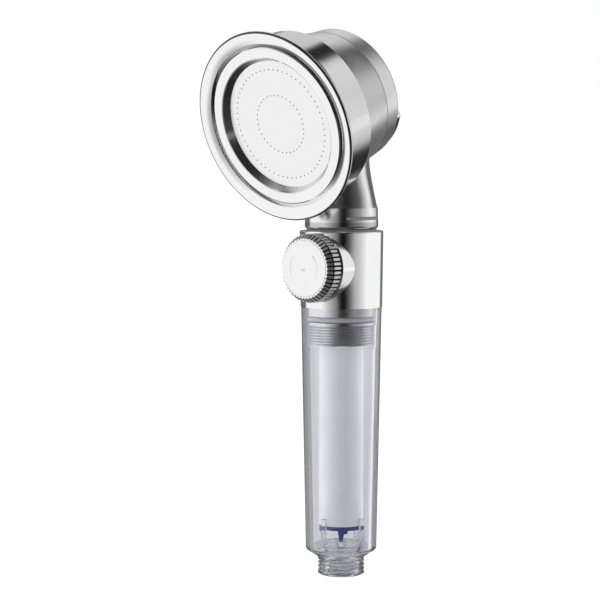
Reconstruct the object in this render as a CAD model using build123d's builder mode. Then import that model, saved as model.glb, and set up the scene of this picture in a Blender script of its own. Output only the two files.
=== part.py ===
from build123d import *
import os
from math import asin, cos, degrees, pi, radians, sin

# Handheld shower head: a clear filter handle, a stop valve with a fluted knob, and a spray head
# that swivels on the valve body.
#
# Frame: origin at the centre of the inlet's end face, +Z up the handle, the knob and the spray
# face towards -Y. All sizes are in millimetres.

# ---- Fits, shared by every piece ----
RUNNING_GAP = 0.05           # radial, between pieces that turn in each other
SEAT_GAP = 0.1               # between pieces that are screwed or pushed together
END_GAP = 0.2                # along an axis, between pieces that turn against each other

# ---- Clear handle ----
INLET_THREAD_RADIUS = 20.955 / 2     # G 1/2 male pipe thread
INLET_THREAD_LENGTH = 8.0
INLET_CHAMFER = 0.5          # inside edge of the inlet's end face
INLET_BORE_RADIUS = 7.4
SHOULDER_RISE = 3.5          # height of the cone between the inlet and the tube
HANDLE_LENGTH = 120.7        # inlet end face to the joint with the valve body
HANDLE_FOOT_RADIUS = 15.9
HANDLE_TOP_RADIUS = 18.0
HANDLE_EDGE_ROUND = 0.6
CHAMBER_FOOT_RADIUS = 12.5   # bore round the filter, at its foot
CHAMBER_TOP_RADIUS = 14.4
CHAMBER_FLOOR_RISE = 2.5     # height of the cone inside the shoulder
CHAMBER_FLOOR_OFFSET = 0.5   # chamber floor above the foot of the tube
THREAD_RUNOUT = 1.0

# ---- Valve body ----
BARREL_LENGTH = 33.9
BARREL_FOOT_RADIUS = 18.25
BARREL_TOP_RADIUS = 18.7
BARREL_EDGE_ROUND = 0.5
SPIGOT_LENGTH = 16.9         # threaded foot of the valve body, inside the handle
SPIGOT_THREAD_LENGTH = 9.0
SPIGOT_THREAD_RADIUS = 14.95  # crest of the thread
SPIGOT_THREAD_DEPTH = 0.75   # the spigot is plain at the root of its thread
SPIGOT_LAND_RADIUS = 15.6
SPIGOT_CHAMFER = 0.7
BOSS_HEIGHT = 18.0           # knob axis above the foot of the barrel
BOSS_RADIUS = 15.8
BOSS_REACH = 17.9            # boss face, out from the handle axis
SPOT_FACE_RADIUS = 16.2      # flat that is cut in the barrel round the boss face
BOSS_EDGE_CHAMFER = 0.6
WATERWAY_RADIUS = 4.6
SOCKET_RADIUS = 10.4         # filter socket in the spigot
SOCKET_CEILING_DROP = 6.7    # ceiling of the filter socket below the joint

# ---- Filter ----
FILTER_RADIUS = 9.9
FILTER_BORE_RADIUS = 4.5
CAP_THICKNESS = 2.4
CAP_COLLAR_LENGTH = 4.0
CAP_COLLAR_WALL = 1.0
FILTER_SEAL_THICKNESS = 2.6
END_CAP_THICKNESS = 1.8
END_CAP_PLUG_LENGTH = 4.2
END_CAP_TAB_LENGTH = 1.4
END_CAP_TAB_WIDTH = 4.0
END_CAP_TAB_WALL = 1.1
STUB_LENGTH = 6.5            # cone under the end cap
STUB_ROOT_RADIUS = 1.8
STUB_TIP_RADIUS = 1.0
CAGE_RING_THICKNESS = 1.6
CAGE_RING_WALL = 4.0
CAGE_POST_COUNT = 4
CAGE_POST_RADIUS = 1.1
CAGE_POST_LENGTH = 12.6
CAGE_RIB_WIDTH = 1.4
CAGE_HUB_RADIUS = 2.4
CAGE_HUB_LENGTH = 3.4
CAGE_SOCKET_DEPTH = 0.8      # dimple in the hub that takes the stub's tip

# ---- Valve stem and its seals ----
PLUG_RADIUS = 7.45
PLUG_REAR_REACH = 9.3        # rear end of the plug, behind the handle axis
PLUG_SHOULDER_REACH = 11.5   # shoulder of the plug, out from the handle axis
PLUG_SEAL_REACHES = (-7.0, 8.6)
SHANK_RADIUS = 4.95
SHANK_REACH = 18.3
DRIVE_SIDE = 6.0
DRIVE_LENGTH = 2.9
GLAND_RADIUS = 10.5
GLAND_RECESS = 0.4           # gland face below the boss face
GLAND_NOTCH_DEPTH = 1.0
GLAND_NOTCH_WIDTH = 2.0
VALVE_SEAT_WALL = 1.8
VALVE_SEAT_LENGTH = 3.2      # cylindrical wall of the seat below the plug

# ---- Knob ----
KNOB_RADIUS = 15.2
KNOB_REACH = 18.1            # rear face of the knob, out from the handle axis
KNOB_THICKNESS = 7.0
KNOB_FLUTE_COUNT = 48
KNOB_FLUTE_DEPTH = 0.8
KNOB_FLUTE_LAND = 0.5        # crest of a flute, as a share of the pitch
KNOB_BEVEL_DROP = 0.2        # rear edge of the bevelled row below the rear row
KNOB_BEVEL_RADIUS = 13.3     # front edge of the bevelled row
KNOB_BEVEL_DEPTH = 0.6       # its flutes at the front edge
KNOB_BEVEL_LENGTH = 2.1
KNOB_GROOVE_WIDTH = 0.7      # groove between the two rows of flutes
KNOB_GROOVE_DEPTH = 1.1
KNOB_HUB_RADIUS = 6.4
KNOB_SKIRT_WALL = 2.0
KNOB_SKIRT_DEPTH = 2.9
KNOB_WEB = 0.8               # web under the screw's head
KNOB_CAP_RADIUS = 12.3
KNOB_CAP_THICKNESS = 1.2
KNOB_CAP_DOME = 0.7
KNOB_CAP_SEAT = 1.1          # depth of the cap's seat in the knob's front face
SCREW_RADIUS = 1.5
SCREW_HEAD_RADIUS = 2.8
SCREW_HEAD_THICKNESS = 1.8
SCREW_SLOT_WIDTH = 0.8
SCREW_SLOT_DEPTH = 0.8
KNOB_SCREW_LENGTH = 8.0

# ---- Swivel ----
JOURNAL_RADIUS = 9.95
JOURNAL_LENGTH = 16.7
JOURNAL_BORE_RADIUS = 5.0
JOURNAL_THREAD_RADIUS = 8.5
JOURNAL_THREAD_LENGTH = 5.8
JOURNAL_CHAMFER = 0.6
JOURNAL_SEAL_RISE = 13.0     # seal's middle above the top of the valve body
CLIP_RISE = 5.8              # clip's middle above the top of the valve body
CLIP_THICKNESS = 1.2
CLIP_GROOVE_DEPTH = 1.5
CLIP_LEG_WIDTH = 2.6
CLIP_LEG_LENGTH = 6.0
CLIP_HALF_ANGLE = 42.0       # the clip shows over this angle on each side of +X
WASHER_THICKNESS = 0.85
WASHER_RADIUS = 15.6

# ---- Neck ----
COLLAR_FOOT_RADIUS = 16.45
COLLAR_TOP_RADIUS = 16.2
COLLAR_HEIGHT = 9.4
COLLAR_EDGE_ROUND = 1.4
NECK_RISES = (0.0, 3.1, 10.8, 21.5, 31.0, 38.0)             # above the top of the collar
NECK_SIDE_RADII = (16.0, 15.3, 13.6, 11.8, 15.5, 21.0)      # half width along X
NECK_DEPTH_RADII = (16.0, 15.2, 14.3, 14.2, 14.4, 14.4)     # half depth along Y
NECK_SHIFTS = (0.0, 0.0, -0.3, -0.8, -2.4, -5.6)            # middle of the section along Y
PAD_INSET = 0.9              # raised pad behind the drum, in from the drum's rear edge
PAD_THICKNESS = 3.4
PAD_TOP_DROP = 8.5           # its straight top edge below the head's axis
PAD_CORNER_ROUND = 2.5
PAD_EDGE_ROUND = 1.2

# ---- Spray head, turned about its own axis; depths are measured back from the rim ----
HEAD_TILT = 18.0             # the face looks down by this angle
HEAD_REACH = 45.3            # centre of the rim, out from the handle axis
HEAD_RISE = 45.4             # centre of the rim above the top of the valve body
RIM_RADIUS = 42.3
RIM_THICKNESS = 1.7
DISH_DEPTH = 1.5             # inner edge of the dish below the rim
DISH_SAG = 0.25
DISH_STEP = 2.2              # inner edge of the dish, out from the bore of the band
BAND_FRONT_RADIUS = 37.4
BAND_REAR_RADIUS = 37.1
BAND_START = 7.6
BAND_END = 20.6
BAND_WALL = 2.7
BAND_EDGE_ROUND = 0.4
GROOVE_WIDTH = 1.6           # between the dish and the face ring
GROOVE_FLOOR_DEPTH = 5.0
BEZEL_FLANGE_THICKNESS = 1.8
BEZEL_FLANGE_WIDTH = 1.4     # flange in from the bore of the band
FACE_RING_WIDTH = 4.8        # flat face of the ring
FACE_RING_DEPTH = 1.6        # flat face below the rim
FACE_RING_OUTER_CHAMFER = 0.4
FACE_RING_INNER_CHAMFER = 0.25
FACE_LIP_WIDTH = 2.0         # conical wall from the flat face to the spray plate
FACE_SKIRT_WALL = 1.5
PLATE_DEPTH = 4.9
PLATE_THICKNESS = 0.6
SPRAY_HOLE_RADIUS = 0.25
SPRAY_HOLE_SIDES = 6
SPRAY_INNER_CIRCLE = 12.9
SPRAY_INNER_COUNT = 36
SPRAY_OUTER_MARGIN = 3.9     # outer circle of holes, in from the foot of the conical wall
SPRAY_OUTER_COUNT = 60
PLATE_SEAL_THICKNESS = 1.0
PLATE_SEAL_WIDTH = 2.5
NOZZLE_FLANGE_THICKNESS = 2.0
NOZZLE_LENGTH = 11.5
NOZZLE_WALL = 3.2
NOZZLE_DROP = 1.7            # tube of the nozzle body, in from the bore of the flange
DIFFUSER_THICKNESS = 1.2
DIFFUSER_STEP = 1.4          # ledge that carries the diffuser
DIFFUSER_GAP = 3.0           # water space between the plates
DIFFUSER_HOLE_RADIUS = 2.2
DIFFUSER_HOLE_CIRCLE = 15.0
DIFFUSER_HOLE_COUNT = 9
DRUM_SEAM_RADIUS = 30.8
DRUM_SEAM_DEPTH = 40.4
DRUM_SEAM_WIDTH = 0.6
DRUM_SEAM_CUT = 0.5
DRUM_REAR_RADIUS = 29.7
DRUM_REAR_DEPTH = 50.4
DRUM_EDGE_ROUND = 1.5
DRUM_WALL = 3.0
STUB_TUBE_RADIUS = 7.6       # inlet stub under the drum
STUB_TUBE_BORE = 5.0
STUB_TUBE_FOOT_RISE = 17.7   # its lower end above the top of the valve body
STUB_SEAL_OFFSET = 2.2       # seal's middle above the stub's lower end
NECK_SCREW_SPREAD = 12.5
NECK_SCREW_DROP = 14.0       # screws below the head's axis
NECK_SCREW_BITE = 2.4        # thread length in the pad

# ---- Seals of round section ----
SMALL_SEAL = 0.9             # section radius
LARGE_SEAL = 1.2
SEAL_GROOVE_SIDE = 0.15      # room on each side of a seal in its groove
SEAL_SECTION_SIDES = 8

# ---- Levels along the handle ----
shoulder_z = INLET_THREAD_LENGTH + SHOULDER_RISE
chamber_floor_z = shoulder_z + CHAMBER_FLOOR_OFFSET
joint_z = HANDLE_LENGTH
spigot_foot_z = joint_z - SPIGOT_LENGTH
spigot_thread_top_z = spigot_foot_z + SPIGOT_THREAD_LENGTH
socket_ceiling_z = joint_z - SOCKET_CEILING_DROP
barrel_top_z = joint_z + BARREL_LENGTH
knob_z = joint_z + BOSS_HEIGHT
stub_tip_z = chamber_floor_z + CAGE_HUB_LENGTH - CAGE_SOCKET_DEPTH
end_cap_z = stub_tip_z + STUB_LENGTH
filter_foot_z = end_cap_z + END_CAP_THICKNESS
filter_top_z = socket_ceiling_z - FILTER_SEAL_THICKNESS - CAP_THICKNESS
clip_z = barrel_top_z + CLIP_RISE
journal_top_z = barrel_top_z + JOURNAL_LENGTH
collar_foot_z = barrel_top_z + WASHER_THICKNESS + RUNNING_GAP
collar_top_z = collar_foot_z + COLLAR_HEIGHT
stub_tube_foot_z = barrel_top_z + STUB_TUBE_FOOT_RISE
cross_bore_radius = PLUG_RADIUS + RUNNING_GAP
cage_post_circle = FILTER_RADIUS + SEAT_GAP + CAGE_POST_RADIUS

# ---- Radii of the spray head, from the band inwards ----
band_bore = min(BAND_FRONT_RADIUS, BAND_REAR_RADIUS) - BAND_WALL
drum_front_radius = band_bore + SEAT_GAP
dish_inner_radius = band_bore + DISH_STEP
flange_bore = band_bore - BEZEL_FLANGE_WIDTH
face_ring_radius = dish_inner_radius - GROOVE_WIDTH
face_ring_bore = face_ring_radius - FACE_RING_WIDTH
lip_radius = face_ring_bore - FACE_LIP_WIDTH
face_skirt_radius = flange_bore - 2 * SEAT_GAP
face_skirt_bore = face_skirt_radius - FACE_SKIRT_WALL
nozzle_radius = flange_bore - NOZZLE_DROP
nozzle_bore = nozzle_radius - NOZZLE_WALL
spray_radius = face_skirt_bore - PLATE_SEAL_WIDTH
pad_radius = DRUM_REAR_RADIUS - PAD_INSET
neck_screw_places = ((NECK_SCREW_SPREAD, -NECK_SCREW_DROP), (-NECK_SCREW_SPREAD, -NECK_SCREW_DROP))

# ---- Planes and axes ----
HANDLE_SECTION = Plane.XZ
KNOB_AXIS = Axis((0, 0, knob_z), (0, -1, 0))
KNOB_PLANE = Plane(origin=(0, 0, knob_z), x_dir=(1, 0, 0), z_dir=(0, -1, 0))
KNOB_SECTION = Plane(origin=(0, 0, knob_z), x_dir=(1, 0, 0), z_dir=(0, 0, -1))
tilt = radians(HEAD_TILT)
head_centre = (0, -HEAD_REACH, barrel_top_z + HEAD_RISE)
HEAD_AXIS = Axis(head_centre, (0, cos(tilt), sin(tilt)))
HEAD_PLANE = Plane(origin=head_centre, x_dir=(1, 0, 0), z_dir=(0, -cos(tilt), -sin(tilt)))
HEAD_SECTION = Plane(origin=head_centre, x_dir=(1, 0, 0), z_dir=(0, -sin(tilt), cos(tilt)))


def turned(section, axis, *corners):
    """Solid of revolution from the corners of its half section."""
    with BuildPart() as solid:
        with BuildSketch(section):
            with BuildLine():
                Polyline(*corners, close=True)
            make_face()
        revolve(axis=axis)
    return solid.part


def round_seal(section, axis, outer_radius, section_radius, *levels):
    """O-rings of one size, one at each level, that reach outer_radius."""
    with BuildPart() as seals:
        for level in levels:
            with BuildSketch(section):
                with Locations((outer_radius - section_radius, level)):
                    RegularPolygon(section_radius, SEAL_SECTION_SIDES, major_radius=False,
                                   rotation=180 / SEAL_SECTION_SIDES)
            revolve(axis=axis)
    return seals.part


def seal_groove(section, axis, outer_radius, section_radius, *levels):
    """The grooves for round_seal, open outwards, as a solid to be cut away."""
    half_width = section_radius + SEAL_GROOVE_SIDE
    with BuildPart() as grooves:
        for level in levels:
            with BuildSketch(section):
                with Locations((outer_radius - 2 * section_radius - SEAT_GAP / 2, level)):
                    Rectangle(3 * section_radius, 2 * half_width, align=(Align.MIN, Align.CENTER))
            revolve(axis=axis)
    return grooves.part


def fluted_outline(crest_radius, depth):
    """Outline of the knob's grip: flat crests with V-shaped flutes of one depth between them."""
    pitch = 2 * pi / KNOB_FLUTE_COUNT
    corners = []
    for flute in range(KNOB_FLUTE_COUNT):
        for share, radius in ((0, crest_radius), (KNOB_FLUTE_LAND, crest_radius),
                              ((1 + KNOB_FLUTE_LAND) / 2, crest_radius - depth)):
            angle = (flute + share) * pitch
            corners.append((radius * cos(angle), radius * sin(angle)))
    with BuildSketch(Plane.XY) as outline:
        with BuildLine():
            Polyline(*corners, close=True)
        make_face()
    return outline.sketch


def clip_outline(gap):
    """Outline of the swivel clip, grown by gap: a U with its closed end towards +X."""
    groove_floor = JOURNAL_RADIUS - CLIP_GROOVE_DEPTH
    inner = groove_floor + SEAT_GAP - gap
    outer = inner + CLIP_LEG_WIDTH + 2 * gap
    collar_radius = COLLAR_FOOT_RADIUS - (COLLAR_FOOT_RADIUS - COLLAR_TOP_RADIUS) / 2
    reach = collar_radius - SEAT_GAP + 2 * gap
    half_angle = CLIP_HALF_ANGLE + degrees(asin(gap / reach))
    with BuildSketch(Plane.XY) as outline:
        Circle(reach)
        with BuildSketch(Plane.XY, mode=Mode.INTERSECT):
            with BuildLine():
                corner = 2 * reach
                rise = corner * sin(radians(half_angle)) / cos(radians(half_angle))
                Polyline((0, 0), (corner, rise), (corner, -rise), close=True)
            make_face()
        Circle(outer)
        with Locations((-CLIP_LEG_LENGTH / 2, 0)):
            Rectangle(CLIP_LEG_LENGTH + 2 * gap, 2 * outer)
        with Locations((-CLIP_LEG_LENGTH - gap, 0)):
            Rectangle(outer, 2 * outer, align=(Align.MAX, Align.CENTER), mode=Mode.SUBTRACT)
        Circle(inner, mode=Mode.SUBTRACT)
        Rectangle(2 * outer, 2 * inner, align=(Align.MAX, Align.CENTER), mode=Mode.SUBTRACT)
    return outline.sketch


# ================= Handle body =================

spigot_root_radius = SPIGOT_THREAD_RADIUS - SPIGOT_THREAD_DEPTH
thread_bore = SPIGOT_THREAD_RADIUS + SEAT_GAP
land_bore = SPIGOT_LAND_RADIUS + SEAT_GAP
with BuildPart() as clear_handle:
    with BuildSketch(HANDLE_SECTION):
        with BuildLine():
            Polyline(
                (INLET_BORE_RADIUS + INLET_CHAMFER, 0),
                (INLET_THREAD_RADIUS, 0),
                (INLET_THREAD_RADIUS, INLET_THREAD_LENGTH),
                (HANDLE_FOOT_RADIUS, shoulder_z),
                (HANDLE_TOP_RADIUS, joint_z),
                (land_bore, joint_z),
                (land_bore, spigot_thread_top_z),
                (thread_bore, spigot_thread_top_z),
                (thread_bore, spigot_foot_z - THREAD_RUNOUT),
                (CHAMBER_TOP_RADIUS, spigot_foot_z - THREAD_RUNOUT),
                (CHAMBER_FOOT_RADIUS, chamber_floor_z),
                (INLET_BORE_RADIUS, chamber_floor_z - CHAMBER_FLOOR_RISE),
                (INLET_BORE_RADIUS, INLET_CHAMFER),
                close=True,
            )
        make_face()
    revolve(axis=Axis.Z)
    shoulder_edges = clear_handle.edges().filter_by(GeomType.CIRCLE).filter_by(
        lambda edge: abs(edge.radius - HANDLE_FOOT_RADIUS) < SEAT_GAP)
    fillet(shoulder_edges, HANDLE_EDGE_ROUND)
clear_handle.part.label = "clear_handle"

with BuildPart() as filter_cage:
    with BuildSketch(Plane.XY.offset(chamber_floor_z)):
        Circle(CHAMBER_FOOT_RADIUS - SEAT_GAP)
        Circle(CHAMBER_FOOT_RADIUS - SEAT_GAP - CAGE_RING_WALL, mode=Mode.SUBTRACT)
        for rib in range(CAGE_POST_COUNT // 2):
            with Locations(Rotation(0, 0, 360 / CAGE_POST_COUNT * rib)):
                Rectangle(2 * (CHAMBER_FOOT_RADIUS - CAGE_RING_WALL), CAGE_RIB_WIDTH)
    extrude(amount=CAGE_RING_THICKNESS)
    with BuildSketch(Plane.XY.offset(chamber_floor_z)):
        Circle(CAGE_HUB_RADIUS)
    extrude(amount=CAGE_HUB_LENGTH)
    with BuildSketch(Plane.XY.offset(stub_tip_z)):
        Circle(STUB_TIP_RADIUS + SEAT_GAP)
    extrude(amount=CAGE_SOCKET_DEPTH, mode=Mode.SUBTRACT)
    with BuildSketch(Plane.XY.offset(chamber_floor_z)):
        with PolarLocations(cage_post_circle, CAGE_POST_COUNT):
            Circle(CAGE_POST_RADIUS)
    extrude(amount=CAGE_RING_THICKNESS + CAGE_POST_LENGTH)
filter_cage.part.label = "filter_cage"

end_cap_radius = FILTER_RADIUS - SEAT_GAP
with BuildPart() as filter_end_cap:
    with BuildSketch(HANDLE_SECTION):
        with BuildLine():
            Polyline(
                (0, stub_tip_z),
                (STUB_TIP_RADIUS, stub_tip_z),
                (STUB_TIP_RADIUS, stub_tip_z + CAGE_SOCKET_DEPTH + SEAT_GAP),
                (STUB_ROOT_RADIUS, end_cap_z),
                (end_cap_radius, end_cap_z),
                (end_cap_radius, filter_foot_z),
                (FILTER_BORE_RADIUS - SEAT_GAP, filter_foot_z),
                (FILTER_BORE_RADIUS - SEAT_GAP, filter_foot_z + END_CAP_PLUG_LENGTH),
                (0, filter_foot_z + END_CAP_PLUG_LENGTH),
                close=True,
            )
        make_face()
    revolve(axis=Axis.Z)
    with BuildSketch(Plane.XY.offset(end_cap_z)):
        with PolarLocations(0, CAGE_POST_COUNT, start_angle=180 / CAGE_POST_COUNT):
            with Locations((end_cap_radius, 0)):
                Rectangle(2 * END_CAP_TAB_WALL, END_CAP_TAB_WIDTH)
        Circle(end_cap_radius, mode=Mode.INTERSECT)
    extrude(amount=-END_CAP_TAB_LENGTH)
filter_end_cap.part.label = "filter_end_cap"

with BuildPart() as filter_element:
    with BuildSketch(Plane.XY.offset(filter_foot_z)):
        Circle(FILTER_RADIUS)
        Circle(FILTER_BORE_RADIUS, mode=Mode.SUBTRACT)
    extrude(amount=filter_top_z - filter_foot_z)
filter_element.part.label = "filter_element"

collar_bore = FILTER_BORE_RADIUS - SEAT_GAP - CAP_COLLAR_WALL
with BuildPart() as filter_top_cap:
    with BuildSketch(HANDLE_SECTION):
        with BuildLine():
            Polyline(
                (collar_bore, filter_top_z - CAP_COLLAR_LENGTH),
                (FILTER_BORE_RADIUS - SEAT_GAP, filter_top_z - CAP_COLLAR_LENGTH),
                (FILTER_BORE_RADIUS - SEAT_GAP, filter_top_z),
                (FILTER_RADIUS, filter_top_z),
                (FILTER_RADIUS, filter_top_z + CAP_THICKNESS),
                (collar_bore, filter_top_z + CAP_THICKNESS),
                close=True,
            )
        make_face()
    revolve(axis=Axis.Z)
filter_top_cap.part.label = "filter_top_cap"

with BuildPart() as filter_top_seal:
    with BuildSketch(Plane.XY.offset(socket_ceiling_z - FILTER_SEAL_THICKNESS)):
        Circle(FILTER_RADIUS)
        Circle(WATERWAY_RADIUS + SEAT_GAP, mode=Mode.SUBTRACT)
    extrude(amount=FILTER_SEAL_THICKNESS)
filter_top_seal.part.label = "filter_top_seal"

handle_seal_z = (joint_z + spigot_thread_top_z) / 2 - LARGE_SEAL
handle_seal_radius = land_bore - SEAT_GAP / 2
handle_seal = round_seal(HANDLE_SECTION, Axis.Z, handle_seal_radius, LARGE_SEAL, handle_seal_z)
handle_seal.label = "handle_seal"

cross_bore_rear = PLUG_REAR_REACH + END_GAP
gland_floor_reach = PLUG_SHOULDER_REACH + END_GAP
journal_thread_foot_z = barrel_top_z - JOURNAL_THREAD_LENGTH
valve_seat_radius = WATERWAY_RADIUS + VALVE_SEAT_WALL
valve_seat_foot_z = knob_z - cross_bore_radius - VALVE_SEAT_LENGTH
with BuildPart() as valve_body:
    with BuildSketch(HANDLE_SECTION):
        with BuildLine():
            Polyline(
                (0, spigot_foot_z),
                (spigot_root_radius - SPIGOT_CHAMFER, spigot_foot_z),
                (spigot_root_radius, spigot_foot_z + SPIGOT_CHAMFER),
                (spigot_root_radius, spigot_thread_top_z + SEAT_GAP),
                (SPIGOT_LAND_RADIUS, spigot_thread_top_z + SEAT_GAP),
                (SPIGOT_LAND_RADIUS, joint_z),
                (BARREL_FOOT_RADIUS, joint_z),
                (BARREL_TOP_RADIUS, barrel_top_z),
                (0, barrel_top_z),
                close=True,
            )
        make_face()
    revolve(axis=Axis.Z)
    top_edge = valve_body.edges().filter_by(GeomType.CIRCLE).sort_by(Axis.Z)[-1]
    fillet(top_edge, BARREL_EDGE_ROUND)
    with BuildSketch(KNOB_PLANE.offset(BOSS_REACH)):
        Circle(SPOT_FACE_RADIUS)
    extrude(amount=BARREL_TOP_RADIUS, mode=Mode.SUBTRACT)
    add(turned(KNOB_SECTION, KNOB_AXIS,
               (0, 0),
               (BOSS_RADIUS, 0),
               (BOSS_RADIUS, BOSS_REACH - BOSS_EDGE_CHAMFER),
               (BOSS_RADIUS - BOSS_EDGE_CHAMFER, BOSS_REACH),
               (0, BOSS_REACH)))
    with BuildSketch(Plane.XY.offset(spigot_foot_z)):
        Circle(SOCKET_RADIUS)
    extrude(amount=socket_ceiling_z - spigot_foot_z, mode=Mode.SUBTRACT)
    with BuildSketch(Plane.XY.offset(socket_ceiling_z)):
        Circle(WATERWAY_RADIUS)
    extrude(amount=barrel_top_z - socket_ceiling_z, mode=Mode.SUBTRACT)
    with BuildSketch(Plane.XY.offset(valve_seat_foot_z)):
        Circle(valve_seat_radius + SEAT_GAP)
    extrude(amount=knob_z - valve_seat_foot_z, mode=Mode.SUBTRACT)
    with BuildSketch(Plane.XY.offset(journal_thread_foot_z - SEAT_GAP)):
        Circle(JOURNAL_THREAD_RADIUS + SEAT_GAP)
    extrude(amount=JOURNAL_THREAD_LENGTH + SEAT_GAP, mode=Mode.SUBTRACT)
    with BuildSketch(KNOB_PLANE.offset(-cross_bore_rear)):
        Circle(cross_bore_radius)
    extrude(amount=cross_bore_rear + BOSS_REACH, mode=Mode.SUBTRACT)
    with BuildSketch(KNOB_PLANE.offset(gland_floor_reach)):
        Circle(GLAND_RADIUS + SEAT_GAP)
    extrude(amount=BOSS_REACH - gland_floor_reach, mode=Mode.SUBTRACT)
    add(seal_groove(HANDLE_SECTION, Axis.Z, handle_seal_radius, LARGE_SEAL, handle_seal_z),
        mode=Mode.SUBTRACT)
valve_body.part.label = "valve_body"

with BuildPart() as valve_seat:
    with BuildSketch(Plane.XY.offset(valve_seat_foot_z)):
        Circle(valve_seat_radius)
        Circle(WATERWAY_RADIUS, mode=Mode.SUBTRACT)
    extrude(amount=knob_z - valve_seat_foot_z)
    with BuildSketch(KNOB_PLANE):
        Circle(cross_bore_radius)
    extrude(amount=2 * valve_seat_radius, both=True, mode=Mode.SUBTRACT)
valve_seat.part.label = "valve_seat"

gland_face_reach = BOSS_REACH - GLAND_RECESS
with BuildPart() as stem_gland:
    with BuildSketch(KNOB_PLANE.offset(gland_floor_reach)):
        Circle(GLAND_RADIUS)
        Circle(SHANK_RADIUS + RUNNING_GAP, mode=Mode.SUBTRACT)
    extrude(amount=gland_face_reach - gland_floor_reach)
    with BuildSketch(KNOB_PLANE.offset(gland_face_reach)):
        with Locations((GLAND_RADIUS, 0), (-GLAND_RADIUS, 0)):
            Rectangle(GLAND_RADIUS - SHANK_RADIUS, GLAND_NOTCH_WIDTH)
    extrude(amount=-GLAND_NOTCH_DEPTH, mode=Mode.SUBTRACT)
stem_gland.part.label = "stem_gland"

clip_groove_floor = JOURNAL_RADIUS - CLIP_GROOVE_DEPTH
clip_groove_half = CLIP_THICKNESS / 2 + END_GAP
journal_seal_z = barrel_top_z + JOURNAL_SEAL_RISE
with BuildPart() as swivel_spigot:
    with BuildSketch(HANDLE_SECTION):
        with BuildLine():
            Polyline(
                (JOURNAL_BORE_RADIUS, journal_thread_foot_z),
                (JOURNAL_THREAD_RADIUS, journal_thread_foot_z),
                (JOURNAL_THREAD_RADIUS, barrel_top_z),
                (JOURNAL_RADIUS, barrel_top_z),
                (JOURNAL_RADIUS, clip_z - clip_groove_half),
                (clip_groove_floor, clip_z - clip_groove_half),
                (clip_groove_floor, clip_z + clip_groove_half),
                (JOURNAL_RADIUS, clip_z + clip_groove_half),
                (JOURNAL_RADIUS, journal_top_z - JOURNAL_CHAMFER),
                (JOURNAL_RADIUS - JOURNAL_CHAMFER, journal_top_z),
                (JOURNAL_BORE_RADIUS, journal_top_z),
                close=True,
            )
        make_face()
    revolve(axis=Axis.Z)
    add(seal_groove(HANDLE_SECTION, Axis.Z, JOURNAL_RADIUS, SMALL_SEAL, journal_seal_z), mode=Mode.SUBTRACT)
swivel_spigot.part.label = "swivel_spigot"

swivel_seal = round_seal(HANDLE_SECTION, Axis.Z, JOURNAL_RADIUS, SMALL_SEAL, journal_seal_z)
swivel_seal.label = "swivel_seal"

with BuildPart() as swivel_washer:
    with BuildSketch(Plane.XY.offset(barrel_top_z)):
        Circle(WASHER_RADIUS)
        Circle(JOURNAL_RADIUS + SEAT_GAP, mode=Mode.SUBTRACT)
    extrude(amount=WASHER_THICKNESS)
swivel_washer.part.label = "swivel_washer"

# ================= Knob body =================

drive_face_reach = SHANK_REACH + DRIVE_LENGTH
screw_seat_reach = drive_face_reach + SEAT_GAP + KNOB_WEB
screw_tip_reach = screw_seat_reach - KNOB_SCREW_LENGTH
with BuildPart() as valve_stem:
    with BuildSketch(KNOB_SECTION):
        with BuildLine():
            Polyline(
                (0, -PLUG_REAR_REACH),
                (PLUG_RADIUS, -PLUG_REAR_REACH),
                (PLUG_RADIUS, PLUG_SHOULDER_REACH),
                (SHANK_RADIUS, PLUG_SHOULDER_REACH),
                (SHANK_RADIUS, SHANK_REACH),
                (0, SHANK_REACH),
                close=True,
            )
        make_face()
    revolve(axis=KNOB_AXIS)
    with BuildSketch(KNOB_PLANE.offset(SHANK_REACH)):
        Rectangle(DRIVE_SIDE, DRIVE_SIDE)
    extrude(amount=DRIVE_LENGTH)
    with BuildSketch(KNOB_PLANE.offset(drive_face_reach)):
        Circle(SCREW_RADIUS + SEAT_GAP)
    extrude(amount=screw_tip_reach - drive_face_reach, mode=Mode.SUBTRACT)
    with BuildSketch(Plane.XY.offset(knob_z)):
        Circle(WATERWAY_RADIUS)
    extrude(amount=2 * PLUG_RADIUS, both=True, mode=Mode.SUBTRACT)
    add(seal_groove(KNOB_SECTION, KNOB_AXIS, PLUG_RADIUS, SMALL_SEAL, *PLUG_SEAL_REACHES),
        mode=Mode.SUBTRACT)
valve_stem.part.label = "valve_stem"

stem_seals = round_seal(KNOB_SECTION, KNOB_AXIS, PLUG_RADIUS, SMALL_SEAL, *PLUG_SEAL_REACHES)
stem_seals.label = "stem_seals"

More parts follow.
